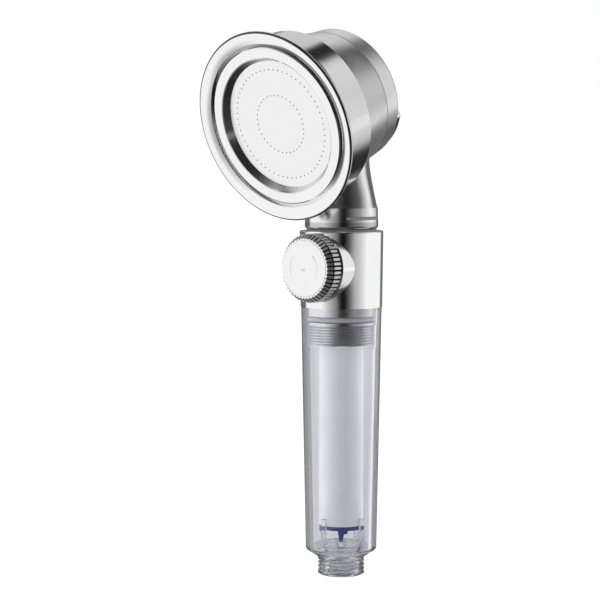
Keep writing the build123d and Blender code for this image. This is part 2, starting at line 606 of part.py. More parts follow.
knob_face_reach = KNOB_REACH + KNOB_THICKNESS
bevel_start_reach = knob_face_reach - KNOB_BEVEL_LENGTH
groove_rear_reach = bevel_start_reach - KNOB_GROOVE_WIDTH
cap_seat_reach = knob_face_reach - KNOB_CAP_SEAT
with BuildPart() as knob:
    with BuildSketch(KNOB_PLANE.offset(KNOB_REACH)):
        add(fluted_outline(KNOB_RADIUS, KNOB_FLUTE_DEPTH))
    extrude(amount=groove_rear_reach - KNOB_REACH)
    with BuildSketch(KNOB_PLANE.offset(groove_rear_reach)):
        Circle(KNOB_RADIUS - KNOB_GROOVE_DEPTH)
    extrude(amount=KNOB_GROOVE_WIDTH)
    with BuildSketch(KNOB_PLANE.offset(bevel_start_reach)):
        add(fluted_outline(KNOB_RADIUS - KNOB_BEVEL_DROP, KNOB_FLUTE_DEPTH))
    with BuildSketch(KNOB_PLANE.offset(knob_face_reach)):
        add(fluted_outline(KNOB_BEVEL_RADIUS, KNOB_BEVEL_DEPTH))
    loft(ruled=True)
    with BuildSketch(KNOB_PLANE.offset(knob_face_reach)):
        Circle(KNOB_CAP_RADIUS + SEAT_GAP)
    extrude(amount=-KNOB_CAP_SEAT, mode=Mode.SUBTRACT)
    with BuildSketch(KNOB_PLANE.offset(KNOB_REACH)):
        Circle(KNOB_RADIUS - KNOB_SKIRT_WALL)
        Circle(KNOB_HUB_RADIUS, mode=Mode.SUBTRACT)
    extrude(amount=KNOB_SKIRT_DEPTH, mode=Mode.SUBTRACT)
    with BuildSketch(KNOB_PLANE.offset(KNOB_REACH)):
        Circle(SHANK_RADIUS + SEAT_GAP)
    extrude(amount=SHANK_REACH + SEAT_GAP - KNOB_REACH, mode=Mode.SUBTRACT)
    with BuildSketch(KNOB_PLANE.offset(KNOB_REACH)):
        Rectangle(DRIVE_SIDE + 2 * SEAT_GAP, DRIVE_SIDE + 2 * SEAT_GAP)
    extrude(amount=drive_face_reach + SEAT_GAP - KNOB_REACH, mode=Mode.SUBTRACT)
    with BuildSketch(KNOB_PLANE.offset(screw_seat_reach)):
        Circle(SCREW_HEAD_RADIUS + SEAT_GAP)
    extrude(amount=knob_face_reach - screw_seat_reach, mode=Mode.SUBTRACT)
    with BuildSketch(KNOB_PLANE.offset(screw_seat_reach)):
        Circle(SCREW_RADIUS + SEAT_GAP)
    extrude(amount=-2 * KNOB_WEB, mode=Mode.SUBTRACT)
knob.part.label = "knob"

cap_face_reach = cap_seat_reach + KNOB_CAP_THICKNESS
with BuildPart() as knob_cap:
    with BuildSketch(KNOB_SECTION):
        with BuildLine():
            Polyline(
                (0, cap_face_reach + KNOB_CAP_DOME),
                (0, cap_seat_reach),
                (KNOB_CAP_RADIUS, cap_seat_reach),
                (KNOB_CAP_RADIUS, cap_face_reach),
            )
            dome_radius = (KNOB_CAP_RADIUS ** 2 + KNOB_CAP_DOME ** 2) / (2 * KNOB_CAP_DOME)
            RadiusArc((0, cap_face_reach + KNOB_CAP_DOME), (KNOB_CAP_RADIUS, cap_face_reach), dome_radius)
        make_face()
    revolve(axis=KNOB_AXIS)
knob_cap.part.label = "knob_cap"

with BuildPart() as knob_screw:
    with BuildSketch(KNOB_PLANE.offset(screw_seat_reach)):
        Circle(SCREW_HEAD_RADIUS)
    extrude(amount=SCREW_HEAD_THICKNESS)
    with BuildSketch(KNOB_PLANE.offset(screw_seat_reach)):
        Circle(SCREW_RADIUS)
    extrude(amount=-KNOB_SCREW_LENGTH + SEAT_GAP)
    with BuildSketch(KNOB_PLANE.offset(screw_seat_reach + SCREW_HEAD_THICKNESS)):
        Rectangle(2 * SCREW_HEAD_RADIUS, SCREW_SLOT_WIDTH)
    extrude(amount=-SCREW_SLOT_DEPTH, mode=Mode.SUBTRACT)
knob_screw.part.label = "knob_screw"

# ================= Head body =================

drum_start = GROOVE_FLOOR_DEPTH + BEZEL_FLANGE_THICKNESS + NOZZLE_FLANGE_THICKNESS
drum_back_wall = DRUM_REAR_DEPTH - DRUM_WALL
with BuildPart() as head_housing:
    add(turned(HEAD_SECTION, HEAD_AXIS,
               (0, drum_start),
               (band_bore - SEAT_GAP, drum_start),
               (band_bore - SEAT_GAP, BAND_END),
               (drum_front_radius, BAND_END + SEAT_GAP),
               (DRUM_SEAM_RADIUS, DRUM_SEAM_DEPTH),
               (DRUM_REAR_RADIUS, DRUM_REAR_DEPTH),
               (0, DRUM_REAR_DEPTH)))
    rear_edge = head_housing.edges().filter_by(GeomType.CIRCLE).sort_by(HEAD_AXIS)[-1]
    fillet(rear_edge, DRUM_EDGE_ROUND)
    with BuildSketch(HEAD_SECTION):
        with Locations((DRUM_SEAM_RADIUS - DRUM_SEAM_CUT, DRUM_SEAM_DEPTH)):
            Rectangle(2 * DRUM_SEAM_CUT, DRUM_SEAM_WIDTH, align=(Align.MIN, Align.MIN))
    revolve(axis=HEAD_AXIS, mode=Mode.SUBTRACT)
    with BuildSketch(Plane.XY.offset(stub_tube_foot_z)):
        Circle(STUB_TUBE_RADIUS)
    extrude(amount=STUB_TUBE_FOOT_RISE)
    with BuildSketch(HEAD_SECTION):
        with BuildLine():
            Polyline(
                (0, drum_start),
                (nozzle_radius + SEAT_GAP, drum_start),
                (nozzle_radius + SEAT_GAP, BAND_END),
                (DRUM_SEAM_RADIUS - DRUM_WALL, DRUM_SEAM_DEPTH),
                (DRUM_REAR_RADIUS - DRUM_WALL, drum_back_wall),
                (0, drum_back_wall),
                close=True,
            )
        make_face()
    revolve(axis=HEAD_AXIS, mode=Mode.SUBTRACT)
    with BuildSketch(Plane.XY.offset(stub_tube_foot_z)):
        Circle(STUB_TUBE_BORE)
    extrude(amount=STUB_TUBE_FOOT_RISE, mode=Mode.SUBTRACT)
    with BuildSketch(HEAD_PLANE.offset(-drum_back_wall)):
        with Locations(*neck_screw_places):
            Circle(SCREW_RADIUS + SEAT_GAP)
    extrude(amount=-DRUM_WALL, mode=Mode.SUBTRACT)
    stub_seal_z = stub_tube_foot_z + STUB_SEAL_OFFSET
    add(seal_groove(HANDLE_SECTION, Axis.Z, STUB_TUBE_RADIUS, SMALL_SEAL, stub_seal_z), mode=Mode.SUBTRACT)
head_housing.part.label = "head_housing"

neck_seal = round_seal(HANDLE_SECTION, Axis.Z, STUB_TUBE_RADIUS, SMALL_SEAL, stub_seal_z)
neck_seal.label = "neck_seal"

with BuildPart() as bezel_ring:
    with BuildSketch(HEAD_SECTION):
        with BuildLine():
            dish_outer = (RIM_RADIUS - RIM_THICKNESS / 2, 0)
            dish_inner = (dish_inner_radius, DISH_DEPTH)
            rim_back = (RIM_RADIUS - RIM_THICKNESS / 2, RIM_THICKNESS)
            band_front = (BAND_FRONT_RADIUS, BAND_START)
            SagittaArc(dish_outer, dish_inner, DISH_SAG)
            ThreePointArc(dish_outer, (RIM_RADIUS, RIM_THICKNESS / 2), rim_back)
            flare_middle = ((rim_back[0] + 2 * band_front[0]) / 3, (2 * rim_back[1] + band_front[1]) / 3)
            ThreePointArc(rim_back, flare_middle, band_front)
            Polyline(
                band_front,
                (BAND_REAR_RADIUS, BAND_END - BAND_EDGE_ROUND),
                (BAND_REAR_RADIUS - BAND_EDGE_ROUND, BAND_END),
                (band_bore, BAND_END),
                (band_bore, GROOVE_FLOOR_DEPTH + BEZEL_FLANGE_THICKNESS),
                (flange_bore, GROOVE_FLOOR_DEPTH + BEZEL_FLANGE_THICKNESS),
                (flange_bore, GROOVE_FLOOR_DEPTH),
                (dish_inner_radius, GROOVE_FLOOR_DEPTH),
                dish_inner,
            )
        make_face()
    revolve(axis=HEAD_AXIS)
bezel_ring.part.label = "bezel_ring"

band_clearance_radius = max(BAND_FRONT_RADIUS, BAND_REAR_RADIUS) + SEAT_GAP
neck_bore = JOURNAL_RADIUS + RUNNING_GAP
stub_bore = STUB_TUBE_RADIUS + SEAT_GAP
pad_back_depth = DRUM_REAR_DEPTH + PAD_THICKNESS
drum_heel_z = head_centre[2] + DRUM_REAR_DEPTH * sin(tilt) - DRUM_REAR_RADIUS * cos(tilt)
with BuildPart() as neck:
    with BuildSketch(HEAD_PLANE.offset(-pad_back_depth)) as pad_outline:
        Circle(pad_radius)
        with Locations((0, -PAD_TOP_DROP)):
            Rectangle(2 * pad_radius, 2 * pad_radius, align=(Align.CENTER, Align.MAX), mode=Mode.INTERSECT)
        fillet(pad_outline.vertices(), PAD_CORNER_ROUND)
    extrude(amount=PAD_THICKNESS)
    pad_back = neck.faces().sort_by(HEAD_AXIS)[-1]
    fillet(pad_back.edges(), PAD_EDGE_ROUND)
    with BuildSketch(HANDLE_SECTION):
        with BuildLine():
            Polyline(
                (0, collar_foot_z),
                (COLLAR_FOOT_RADIUS, collar_foot_z),
                (COLLAR_TOP_RADIUS, collar_top_z),
                (0, collar_top_z),
                close=True,
            )
        make_face()
    revolve(axis=Axis.Z)
    collar_edge = neck.edges().filter_by(GeomType.CIRCLE).sort_by(Axis.Z)[0]
    fillet(collar_edge, COLLAR_EDGE_ROUND)
    for rise, side, depth, shift in zip(NECK_RISES, NECK_SIDE_RADII, NECK_DEPTH_RADII, NECK_SHIFTS):
        with BuildSketch(Plane.XY.offset(collar_top_z + rise)):
            with Locations((0, shift)):
                Ellipse(side, depth)
    loft()
    add(turned(HEAD_SECTION, HEAD_AXIS,
               (0, 0),
               (band_clearance_radius, 0),
               (band_clearance_radius, BAND_END + SEAT_GAP),
               (drum_front_radius + SEAT_GAP, BAND_END + SEAT_GAP),
               (DRUM_SEAM_RADIUS + SEAT_GAP, DRUM_SEAM_DEPTH),
               (DRUM_REAR_RADIUS + SEAT_GAP, DRUM_REAR_DEPTH),
               (0, DRUM_REAR_DEPTH)),
        mode=Mode.SUBTRACT)
    with BuildSketch(Plane.XY.offset(collar_foot_z)):
        Circle(neck_bore)
    extrude(amount=journal_top_z + END_GAP - collar_foot_z, mode=Mode.SUBTRACT)
    with BuildSketch(Plane.XY.offset(journal_top_z)):
        Circle(stub_bore)
    extrude(amount=drum_heel_z - journal_top_z, mode=Mode.SUBTRACT)
    with BuildSketch(Plane.XY.offset(clip_z)):
        add(clip_outline(SEAT_GAP))
    extrude(amount=CLIP_THICKNESS / 2 + SEAT_GAP, both=True, mode=Mode.SUBTRACT)
    with BuildSketch(HEAD_PLANE.offset(-DRUM_REAR_DEPTH)):
        with Locations(*neck_screw_places):
            Circle(SCREW_RADIUS + SEAT_GAP)
    extrude(amount=-NECK_SCREW_BITE - SEAT_GAP, mode=Mode.SUBTRACT)
neck.part.label = "neck"

with BuildPart() as swivel_clip:
    with BuildSketch(Plane.XY.offset(clip_z)):
        add(clip_outline(0))
    extrude(amount=CLIP_THICKNESS / 2, both=True)
swivel_clip.part.label = "swivel_clip"

with BuildPart() as neck_screws:
    with BuildSketch(HEAD_PLANE.offset(-drum_back_wall)):
        with Locations(*neck_screw_places):
            Circle(SCREW_RADIUS)
    extrude(amount=-DRUM_WALL - NECK_SCREW_BITE)
    with BuildSketch(HEAD_PLANE.offset(-drum_back_wall)):
        with Locations(*neck_screw_places):
            Circle(SCREW_HEAD_RADIUS)
    extrude(amount=SCREW_HEAD_THICKNESS)
neck_screws.part.label = "neck_screws"

plate_back = PLATE_DEPTH + PLATE_THICKNESS
nozzle_front = plate_back + PLATE_SEAL_THICKNESS
nozzle_flange_front = GROOVE_FLOOR_DEPTH + BEZEL_FLANGE_THICKNESS
nozzle_end = drum_start + NOZZLE_LENGTH
diffuser_front = nozzle_front + DIFFUSER_GAP
housing_seal_depth = (drum_start + nozzle_end) / 2
with BuildPart() as nozzle_body:
    add(turned(HEAD_SECTION, HEAD_AXIS,
               (spray_radius, nozzle_front),
               (face_skirt_bore - SEAT_GAP, nozzle_front),
               (face_skirt_bore - SEAT_GAP, nozzle_flange_front),
               (band_bore - SEAT_GAP, nozzle_flange_front),
               (band_bore - SEAT_GAP, drum_start),
               (nozzle_radius, drum_start),
               (nozzle_radius, nozzle_end),
               (nozzle_bore - DIFFUSER_STEP, nozzle_end),
               (nozzle_bore - DIFFUSER_STEP, diffuser_front + DIFFUSER_THICKNESS),
               (spray_radius, diffuser_front + DIFFUSER_THICKNESS)))
    add(seal_groove(HEAD_SECTION, HEAD_AXIS, nozzle_radius, SMALL_SEAL, housing_seal_depth),
        mode=Mode.SUBTRACT)
nozzle_body.part.label = "nozzle_body"

housing_seal = round_seal(HEAD_SECTION, HEAD_AXIS, nozzle_radius, SMALL_SEAL, housing_seal_depth)
housing_seal.label = "housing_seal"

with BuildPart() as diffuser_plate:
    with BuildSketch(HEAD_PLANE.offset(-diffuser_front)):
        Circle(spray_radius - SEAT_GAP)
        with PolarLocations(DIFFUSER_HOLE_CIRCLE, DIFFUSER_HOLE_COUNT):
            Circle(DIFFUSER_HOLE_RADIUS, mode=Mode.SUBTRACT)
    extrude(amount=-DIFFUSER_THICKNESS)
diffuser_plate.part.label = "diffuser_plate"

with BuildPart() as plate_seal:
    with BuildSketch(HEAD_PLANE.offset(-plate_back)):
        Circle(face_skirt_bore - SEAT_GAP)
        Circle(spray_radius, mode=Mode.SUBTRACT)
    extrude(amount=-PLATE_SEAL_THICKNESS)
plate_seal.part.label = "plate_seal"

with BuildPart() as spray_plate:
    with BuildSketch(HEAD_PLANE.offset(-PLATE_DEPTH)):
        Circle(face_skirt_bore - SEAT_GAP)
        for circle_radius, hole_count in ((SPRAY_INNER_CIRCLE, SPRAY_INNER_COUNT),
                                          (lip_radius - SPRAY_OUTER_MARGIN, SPRAY_OUTER_COUNT)):
            with PolarLocations(circle_radius, hole_count):
                RegularPolygon(SPRAY_HOLE_RADIUS, SPRAY_HOLE_SIDES, mode=Mode.SUBTRACT)
    extrude(amount=-PLATE_THICKNESS)
spray_plate.part.label = "spray_plate"

with BuildPart() as face_ring:
    add(turned(HEAD_SECTION, HEAD_AXIS,
               (lip_radius, PLATE_DEPTH),
               (face_ring_bore, FACE_RING_DEPTH),
               (face_ring_radius, FACE_RING_DEPTH),
               (face_ring_radius, GROOVE_FLOOR_DEPTH - SEAT_GAP),
               (face_skirt_radius, GROOVE_FLOOR_DEPTH - SEAT_GAP),
               (face_skirt_radius, nozzle_flange_front - SEAT_GAP),
               (face_skirt_bore, nozzle_flange_front - SEAT_GAP),
               (face_skirt_bore, PLATE_DEPTH)))
    front_edges = face_ring.edges().filter_by(GeomType.CIRCLE).group_by(HEAD_AXIS)[0].sort_by(SortBy.RADIUS)
    chamfer(front_edges[0], FACE_RING_INNER_CHAMFER)
    chamfer(front_edges[-1], FACE_RING_OUTER_CHAMFER)
face_ring.part.label = "face_ring"

# ================= Files =================

os.makedirs("parts", exist_ok=True)
built_pieces = (clear_handle, filter_cage, filter_end_cap, filter_element, filter_top_cap,
                filter_top_seal, valve_body, valve_seat, stem_gland, swivel_spigot,
                swivel_washer, valve_stem, knob, knob_cap, knob_screw, head_housing, bezel_ring,
                neck, swivel_clip, neck_screws, nozzle_body, diffuser_plate, plate_seal,
                spray_plate, face_ring)
seals = (handle_seal, swivel_seal, stem_seals, neck_seal, housing_seal)
for piece in [built.part for built in built_pieces] + list(seals):
    export_step(piece, f"parts/{piece.label}.step")
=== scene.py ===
"""Looks of a handheld shower head with a clear filter handle, a stop valve and a swivelling spray head."""

import logging
import math
from collections.abc import Sequence
from dataclasses import dataclass
from enum import Enum
from functools import cache

import bpy
from mathutils import Matrix, Vector


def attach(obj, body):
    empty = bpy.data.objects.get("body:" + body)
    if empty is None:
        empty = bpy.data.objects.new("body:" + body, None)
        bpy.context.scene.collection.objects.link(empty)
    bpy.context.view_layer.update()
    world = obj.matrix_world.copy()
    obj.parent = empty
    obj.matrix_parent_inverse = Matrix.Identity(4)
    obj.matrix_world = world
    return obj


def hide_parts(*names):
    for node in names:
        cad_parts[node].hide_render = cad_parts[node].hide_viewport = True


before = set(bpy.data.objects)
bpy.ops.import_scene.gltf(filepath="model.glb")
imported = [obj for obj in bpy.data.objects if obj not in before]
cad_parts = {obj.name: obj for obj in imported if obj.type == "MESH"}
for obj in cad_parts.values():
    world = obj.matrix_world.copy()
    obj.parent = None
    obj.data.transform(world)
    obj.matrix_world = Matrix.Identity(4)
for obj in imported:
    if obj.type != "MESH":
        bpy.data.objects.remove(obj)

LOG = logging.getLogger("shower_head")
MM = 0.001
PLAIN_WHITE = (1.0, 1.0, 1.0, 1.0)
KNOB_HEIGHT = 138.7 * MM
FOOT_THREAD_CREST = 14.95 * MM
FOOT_THREAD_DEPTH = 0.6 * MM
POINT_WELD = 0.001 * MM
SEAM_WELD = 0.002 * MM
# Numbers of a Mix node's sockets, because its floats and its colours share their names.
FLOAT_A, FLOAT_B, COLOUR_A, COLOUR_B, COLOUR_RESULT = 2, 3, 6, 7, 2

Span = tuple[float, float]
Point = tuple[float, float, float]
Colour = tuple[float, float, float]
Outline = list[tuple[float, float]]


class Body(Enum):
    """The three bodies that move against each other."""

    HANDLE = "handle"
    KNOB = "knob"
    HEAD = "head"


class Easing(Enum):
    """How a fade runs from its start to its end."""

    STRAIGHT = "LINEAR"
    SMOOTH = "SMOOTHSTEP"


# ------------------------------------------------ shader maths


class Signal:
    """A node's output, on which Python's operators add Math nodes."""

    def __init__(self, graph: "Graph", socket: bpy.types.NodeSocket) -> None:
        """Wraps the socket of a node in graph."""
        self.graph = graph
        self.socket = socket

    def __add__(self, other: "Value") -> "Signal":
        """self + other."""
        return self.graph.math("ADD", self, other)

    def __radd__(self, other: "Value") -> "Signal":
        """other + self."""
        return self.graph.math("ADD", other, self)

    def __sub__(self, other: "Value") -> "Signal":
        """self - other."""
        return self.graph.math("SUBTRACT", self, other)

    def __rsub__(self, other: "Value") -> "Signal":
        """other - self."""
        return self.graph.math("SUBTRACT", other, self)

    def __mul__(self, other: "Value") -> "Signal":
        """self * other."""
        return self.graph.math("MULTIPLY", self, other)

    def __rmul__(self, other: "Value") -> "Signal":
        """other * self."""
        return self.graph.math("MULTIPLY", other, self)

    def __abs__(self) -> "Signal":
        """abs(self)."""
        return self.graph.math("ABSOLUTE", self)


Value = float | Signal


class Graph:
    """The node tree of one material or world."""

    def __init__(self, tree: bpy.types.NodeTree) -> None:
        """Empties the tree, to be filled by node()."""
        tree.nodes.clear()
        self.tree = tree

    def node(self, kind: str, settings: dict | None = None, inputs: dict | None = None,
             output: int | str = 0) -> Signal:
        """Adds one node.

        Args:
            kind: The node's type, such as ShaderNodeTexNoise.
            settings: Its properties, which are set before its sockets.
            inputs: Values or signals by socket name or number.
            output: The socket that the returned signal reads.

        Returns:
            The chosen output as a signal.
        """
        made = self.tree.nodes.new(kind)
        for name, value in (settings or {}).items():
            setattr(made, name, value)
        for key, value in (inputs or {}).items():
            if isinstance(value, Signal):
                self.tree.links.new(value.socket, made.inputs[key])
            else:
                made.inputs[key].default_value = value
        return Signal(self, made.outputs[output])

    def finish(self, kind: str, surface: Signal) -> None:
        """Adds an output node of type kind and links the surface to it."""
        output = self.tree.nodes.new(kind)
        self.tree.links.new(surface.socket, output.inputs["Surface"])

    def math(self, operation: str, first: Value, second: Value = 0.0) -> Signal:
        """Adds a Math node of one or two values."""
        return self.node("ShaderNodeMath", {"operation": operation}, {0: first, 1: second})

    def axis(self, place: Signal, name: str) -> Signal:
        """One coordinate of a place: X, Y or Z."""
        return self.node("ShaderNodeSeparateXYZ", inputs={0: place}, output=name)

    def along(self, place: Signal, direction: Sequence[float]) -> Signal:
        """How far a place lies along a direction whose length is 1."""
        return self.node("ShaderNodeVectorMath", {"operation": "DOT_PRODUCT"},
                         {0: place, 1: direction}, "Value")

    def length(self, first: Signal, second: Signal) -> Signal:
        """Length of a step whose two parts stand at right angles."""
        step = self.node("ShaderNodeCombineXYZ", inputs={0: first, 1: second})
        return self.node("ShaderNodeVectorMath", {"operation": "LENGTH"}, {0: step}, "Value")

    def choose(self, chosen: Signal, yes: Value, no: Value) -> Signal:
        """yes where chosen is 1, and no where it is 0."""
        return self.node("ShaderNodeMix", {"data_type": "FLOAT"}, {0: chosen, FLOAT_A: no, FLOAT_B: yes})

    def mix(self, factor: Signal, first: Colour | Signal, second: Colour | Signal) -> Signal:
        """Mixes two colours.

        Args:
            factor: Share of the second colour.
            first: A colour, or a signal that carries one.
            second: The other colour.

        Returns:
            The mixed colour.
        """
        inputs = {0: factor}
        for key, value in {COLOUR_A: first, COLOUR_B: second}.items():
            inputs[key] = value if isinstance(value, Signal) else (*value, 1.0)
        return self.node("ShaderNodeMix", {"data_type": "RGBA"}, inputs, COLOUR_RESULT)

    def bump(self, height: Signal, distance: float) -> Signal:
        """Normal of a surface raised by height times distance, in metres."""
        return self.node("ShaderNodeBump", inputs={"Height": height, "Distance": distance, "Strength": 1.0})

    def ray(self, kind: str) -> Signal:
        """What the Light Path node says of a ray, such as Is Camera Ray."""
        return self.node("ShaderNodeLightPath", output=kind)


def around(middle: float, change: float) -> Span:
    """The two ends of a change to both sides of a middle."""
    return middle - change, middle + change


@dataclass(frozen=True)
class Fade:
    """A level that runs from low at start to high at end, and holds beyond them."""

    start: float
    end: float
    low: float = 0.0
    high: float = 1.0
    easing: Easing = Easing.SMOOTH

    def of(self, value: Signal) -> Signal:
        """The level at a value."""
        ends = {"From Min": self.start, "From Max": self.end, "To Min": self.low, "To Max": self.high}
        return value.graph.node("ShaderNodeMapRange", {"interpolation_type": self.easing.value},
                                {"Value": value, **ends})


@dataclass(frozen=True)
class Slope(Fade):
    """A fade that runs straight from its start to its end."""

    easing: Easing = Easing.STRAIGHT


@dataclass(frozen=True)
class Band:
    """A level of 1 from start to end and 0 beyond them, with edges soft wide."""

    start: float
    end: float
    soft: float

    def of(self, value: Signal) -> Signal:
        """The level at a value."""
        rise = Fade(*around(self.start, self.soft / 2))
        return rise.of(value) * Fade(*around(self.end, self.soft / 2), 1.0, 0.0).of(value)


@dataclass(frozen=True)
class Noise:
    """Noise from 0 to 1, with scale features to the metre, times a stretch along each axis."""

    scale: float = 1.0
    detail: float = 2.0
    roughness: float = 0.5
    stretch: Point | None = None

    def of(self, place: Signal) -> Signal:
        """The noise at a place in object coordinates."""
        if self.stretch:
            place = place.graph.node("ShaderNodeMapping", inputs={"Vector": place, "Scale": self.stretch})
        return place.graph.node("ShaderNodeTexNoise", inputs={
            "Vector": place, "Scale": self.scale, "Detail": self.detail, "Roughness": self.roughness})


# ------------------------------------------------ finishes


def scaled(colour: Colour, share: float) -> Colour:
    """A colour times a share."""
    return tuple(share * channel for channel in colour)


@dataclass(frozen=True)
class Finish:
    """A surface finish; name is the material's, slot the record's."""

    name: str
    slot: str

    @cache
    def material(self) -> bpy.types.Material:
        """The finish as a material, made once and shared.

        Returns:
            The new material, or the one that an earlier call made.
        """
        made = bpy.data.materials.new(self.name)
        made.use_nodes = True
        graph = Graph(made.node_tree)
        place = graph.node("ShaderNodeTexCoord", output="Object")
        shader = graph.node("ShaderNodeBsdfPrincipled", inputs=self.sockets(place))
        graph.finish("ShaderNodeOutputMaterial", shader)
        return made

    def sockets(self, place: Signal) -> dict:
        """Values and signals of the Principled shader's sockets; every finish gives its own."""
        raise NotImplementedError


@dataclass(frozen=True)
class Plating(Finish):
    """Chrome plating over moulded plastic: a mirror with faint waves and wiped streaks."""

    colour: Colour = (0.95, 0.95, 0.955)
    roughness: float = 0.02
    haze: float = 0.05
    wave: float = 0.0000015
    waves: Noise = Noise(120.0, 1.0)
    streaks: Noise = Noise(90.0, 4.0, 0.6)
    hazy: Span = (0.45, 0.75)
    dulled: Span = (0.5, 0.8)
    dull_share: float = 0.965

    def sockets(self, place: Signal) -> dict:
        """A mirror whose haze and waves vary over the surface.

        Args:
            place: Object coordinates.

        Returns:
            Values and signals by socket name.
        """
        graph = place.graph
        streaks = self.streaks.of(place)
        dull = scaled(self.colour, self.dull_share)
        colour = graph.mix(Fade(*self.dulled).of(streaks), self.colour, dull)
        return self.metal(place, colour, self.hazed(streaks, self.roughness))

    def relief(self, place: Signal) -> Signal:
        """Height of the waves that moulding leaves, in wave heights."""
        return self.waves.of(place)

    def hazed(self, streaks: Signal, roughness: float = 0.0) -> Signal:
        """A roughness with the haze of the wiped streaks added."""
        return Fade(*self.hazy, roughness, roughness + self.haze).of(streaks)

    def metal(self, place: Signal, colour: Signal, roughness: Value) -> dict:
        """Sockets of plated metal of a colour and a roughness, with this finish's relief."""
        return {"Base Color": colour, "Metallic": 1.0, "Roughness": roughness,
                "Normal": place.graph.bump(self.relief(place), self.wave)}


@dataclass(frozen=True)
class EngravedPlating(Plating):
    """Satin plating of the knob's cap, with two shallow arcs engraved round its middle."""

    arc_radius: float = 8.2 * MM
    arc_width: float = 0.9 * MM
    arc_half_angle: float = math.radians(52.0)
    arc_end: float = 0.1
    arc_depth: float = 60.0

    def relief(self, place: Signal) -> Signal:
        """The waves, less the engraved arcs at each side of the middle.

        Args:
            place: Object coordinates.

        Returns:
            The height, in wave heights.
        """
        graph = place.graph
        across = graph.axis(place, "X")
        up = graph.axis(place, "Z") - KNOB_HEIGHT
        turned = abs(graph.math("ARCTAN2", up, across))
        half_width = self.arc_width / 2
        ring = Band(*around(self.arc_radius, half_width), half_width)
        right = Fade(*around(self.arc_half_angle, self.arc_end), 1.0, 0.0)
        left = Fade(*around(math.pi - self.arc_half_angle, self.arc_end))
        depth = self.arc_depth * ring.of(graph.length(across, up)) * (right.of(turned) + left.of(turned))
        return self.waves.of(place) - depth


@dataclass(frozen=True)
class FlutedPlating(Plating):
    """Plating of the knob, bright on the crests of its flutes, with painted shade in their notches."""

    # colour of the painted shade in the notches
    notch_shade: Colour = (0.04, 0.04, 0.042)
    side_roughness: float = 0.45
    crest: float = 15.2 * MM
    bevel_crest: float = 15.0 * MM
    face_crest: float = 13.3 * MM
    bevel_reach: float = 23.0 * MM
    bevel_edge: float = 0.1 * MM
    face_reach: float = 25.1 * MM
    face_edge: Span = (0.06 * MM, 0.02 * MM)
    notch_shade_depth: Span = (0.12 * MM, 0.48 * MM)

    def sockets(self, place: Signal) -> dict:
        """Painted shade where the surface lies below the crests, and rough all round but not on the flat
        face.

        Args:
            place: Object coordinates.

        Returns:
            Values and signals by socket name.
        """
        graph = place.graph
        out = 0.0 - graph.axis(place, "Y")
        radius = graph.length(graph.axis(place, "X"), graph.axis(place, "Z") - KNOB_HEIGHT)
        bevel = Slope(self.bevel_reach, self.face_reach, self.bevel_crest, self.face_crest)
        on_bevel = Slope(self.bevel_reach - self.bevel_edge, self.bevel_reach)
        below = graph.choose(on_bevel.of(out), bevel.of(out), self.crest) - radius
        side_start, side_end = (self.face_reach - gap for gap in self.face_edge)
        side = Fade(side_start, side_end, 1.0, 0.0).of(out)
        # painted shade: the notches are darkened by how far they lie below the crests
        colour = graph.mix(Fade(*self.notch_shade_depth).of(below) * side, self.colour, self.notch_shade)
        return self.metal(place, colour, graph.choose(side, self.side_roughness, self.roughness))


@dataclass(frozen=True)
class ThreadPlating(Plating):
    """Plating of the valve's foot thread, hazier towards the thread's root, with painted shade there."""

    # root colour: painted shade at the thread's root
    root: Colour = (0.7, 0.7, 0.71)
    root_haze: float = 0.2
    root_depth: Span = (0.3, 0.8)

    def sockets(self, place: Signal) -> dict:
        """Painted shade towards the root, from a share of the thread's depth on, and more haze there.

        Args:
            place: Object coordinates.

        Returns:
            Values and signals by socket name.
        """
        graph = place.graph
        radius = graph.length(graph.axis(place, "X"), graph.axis(place, "Y"))
        start, end = (FOOT_THREAD_CREST - share * FOOT_THREAD_DEPTH for share in self.root_depth)
        # painted shade: the colour greys towards the thread's root, and the haze rises there too
        below = Fade(start, end).of(radius)
        return self.metal(place, graph.mix(below, self.colour, self.root),
                          self.roughness + self.root_haze * below)


@dataclass(frozen=True)
class CollarPlating(Plating):
    """Plating of the neck, hazier up to the top of its collar, with painted shade at the collar's foot above
    the valve.
    """

    # colour of the painted shade at the collar's foot
    satin: Colour = (0.62, 0.62, 0.625)
    foot_shade_top: float = 159.0 * MM
    collar_top: float = 165.5 * MM
    collar_roughness: float = 0.17
    fade: float = 0.8 * MM

    def sockets(self, place: Signal) -> dict:
        """Painted shade up to the foot's top, and smoother above the collar.

        Args:
            place: Object coordinates.

        Returns:
            Values and signals by socket name.
        """
        graph = place.graph
        height = graph.axis(place, "Z")
        # painted shade: the collar's foot turns grey where it meets the valve body
        foot = Fade(self.foot_shade_top - self.fade, self.foot_shade_top, 1.0, 0.0)
        collar = Fade(self.collar_top, self.collar_top + self.fade, self.collar_roughness, self.roughness)
        return self.metal(place, graph.mix(foot.of(height), self.colour, self.satin),
                          self.hazed(self.streaks.of(place)) + collar.of(height))


@dataclass(frozen=True)
class HeadAxes:
    """Directions of the spray head, from the middle of its rim."""

    middle: Point = (0.0, -45.3 * MM, 200.0 * MM)
    tilt: float = math.radians(18.0)

    def depth(self, place: Signal) -> Signal:
        """Distance behind the rim."""
        return self.along(place, (0.0, math.cos(self.tilt), math.sin(self.tilt)))

    def across(self, place: Signal) -> Signal:
        """Distance to the side of the axis."""
        return self.along(place, (1.0, 0.0, 0.0))

    def up(self, place: Signal) -> Signal:
        """Distance above the axis, in the plane of the rim."""
        return self.along(place, (0.0, -math.sin(self.tilt), math.cos(self.tilt)))

    def reach(self, place: Signal) -> Signal:
        """Distance from the axis."""
        return place.graph.length(self.across(place), self.up(place))

    def along(self, place: Signal, direction: Point) -> Signal:
        """Distance from the rim's middle along a direction."""
        step = place.graph.node("ShaderNodeVectorMath", {"operation": "SUBTRACT"},
                                {0: place, 1: self.middle})
        return place.graph.along(step, direction)


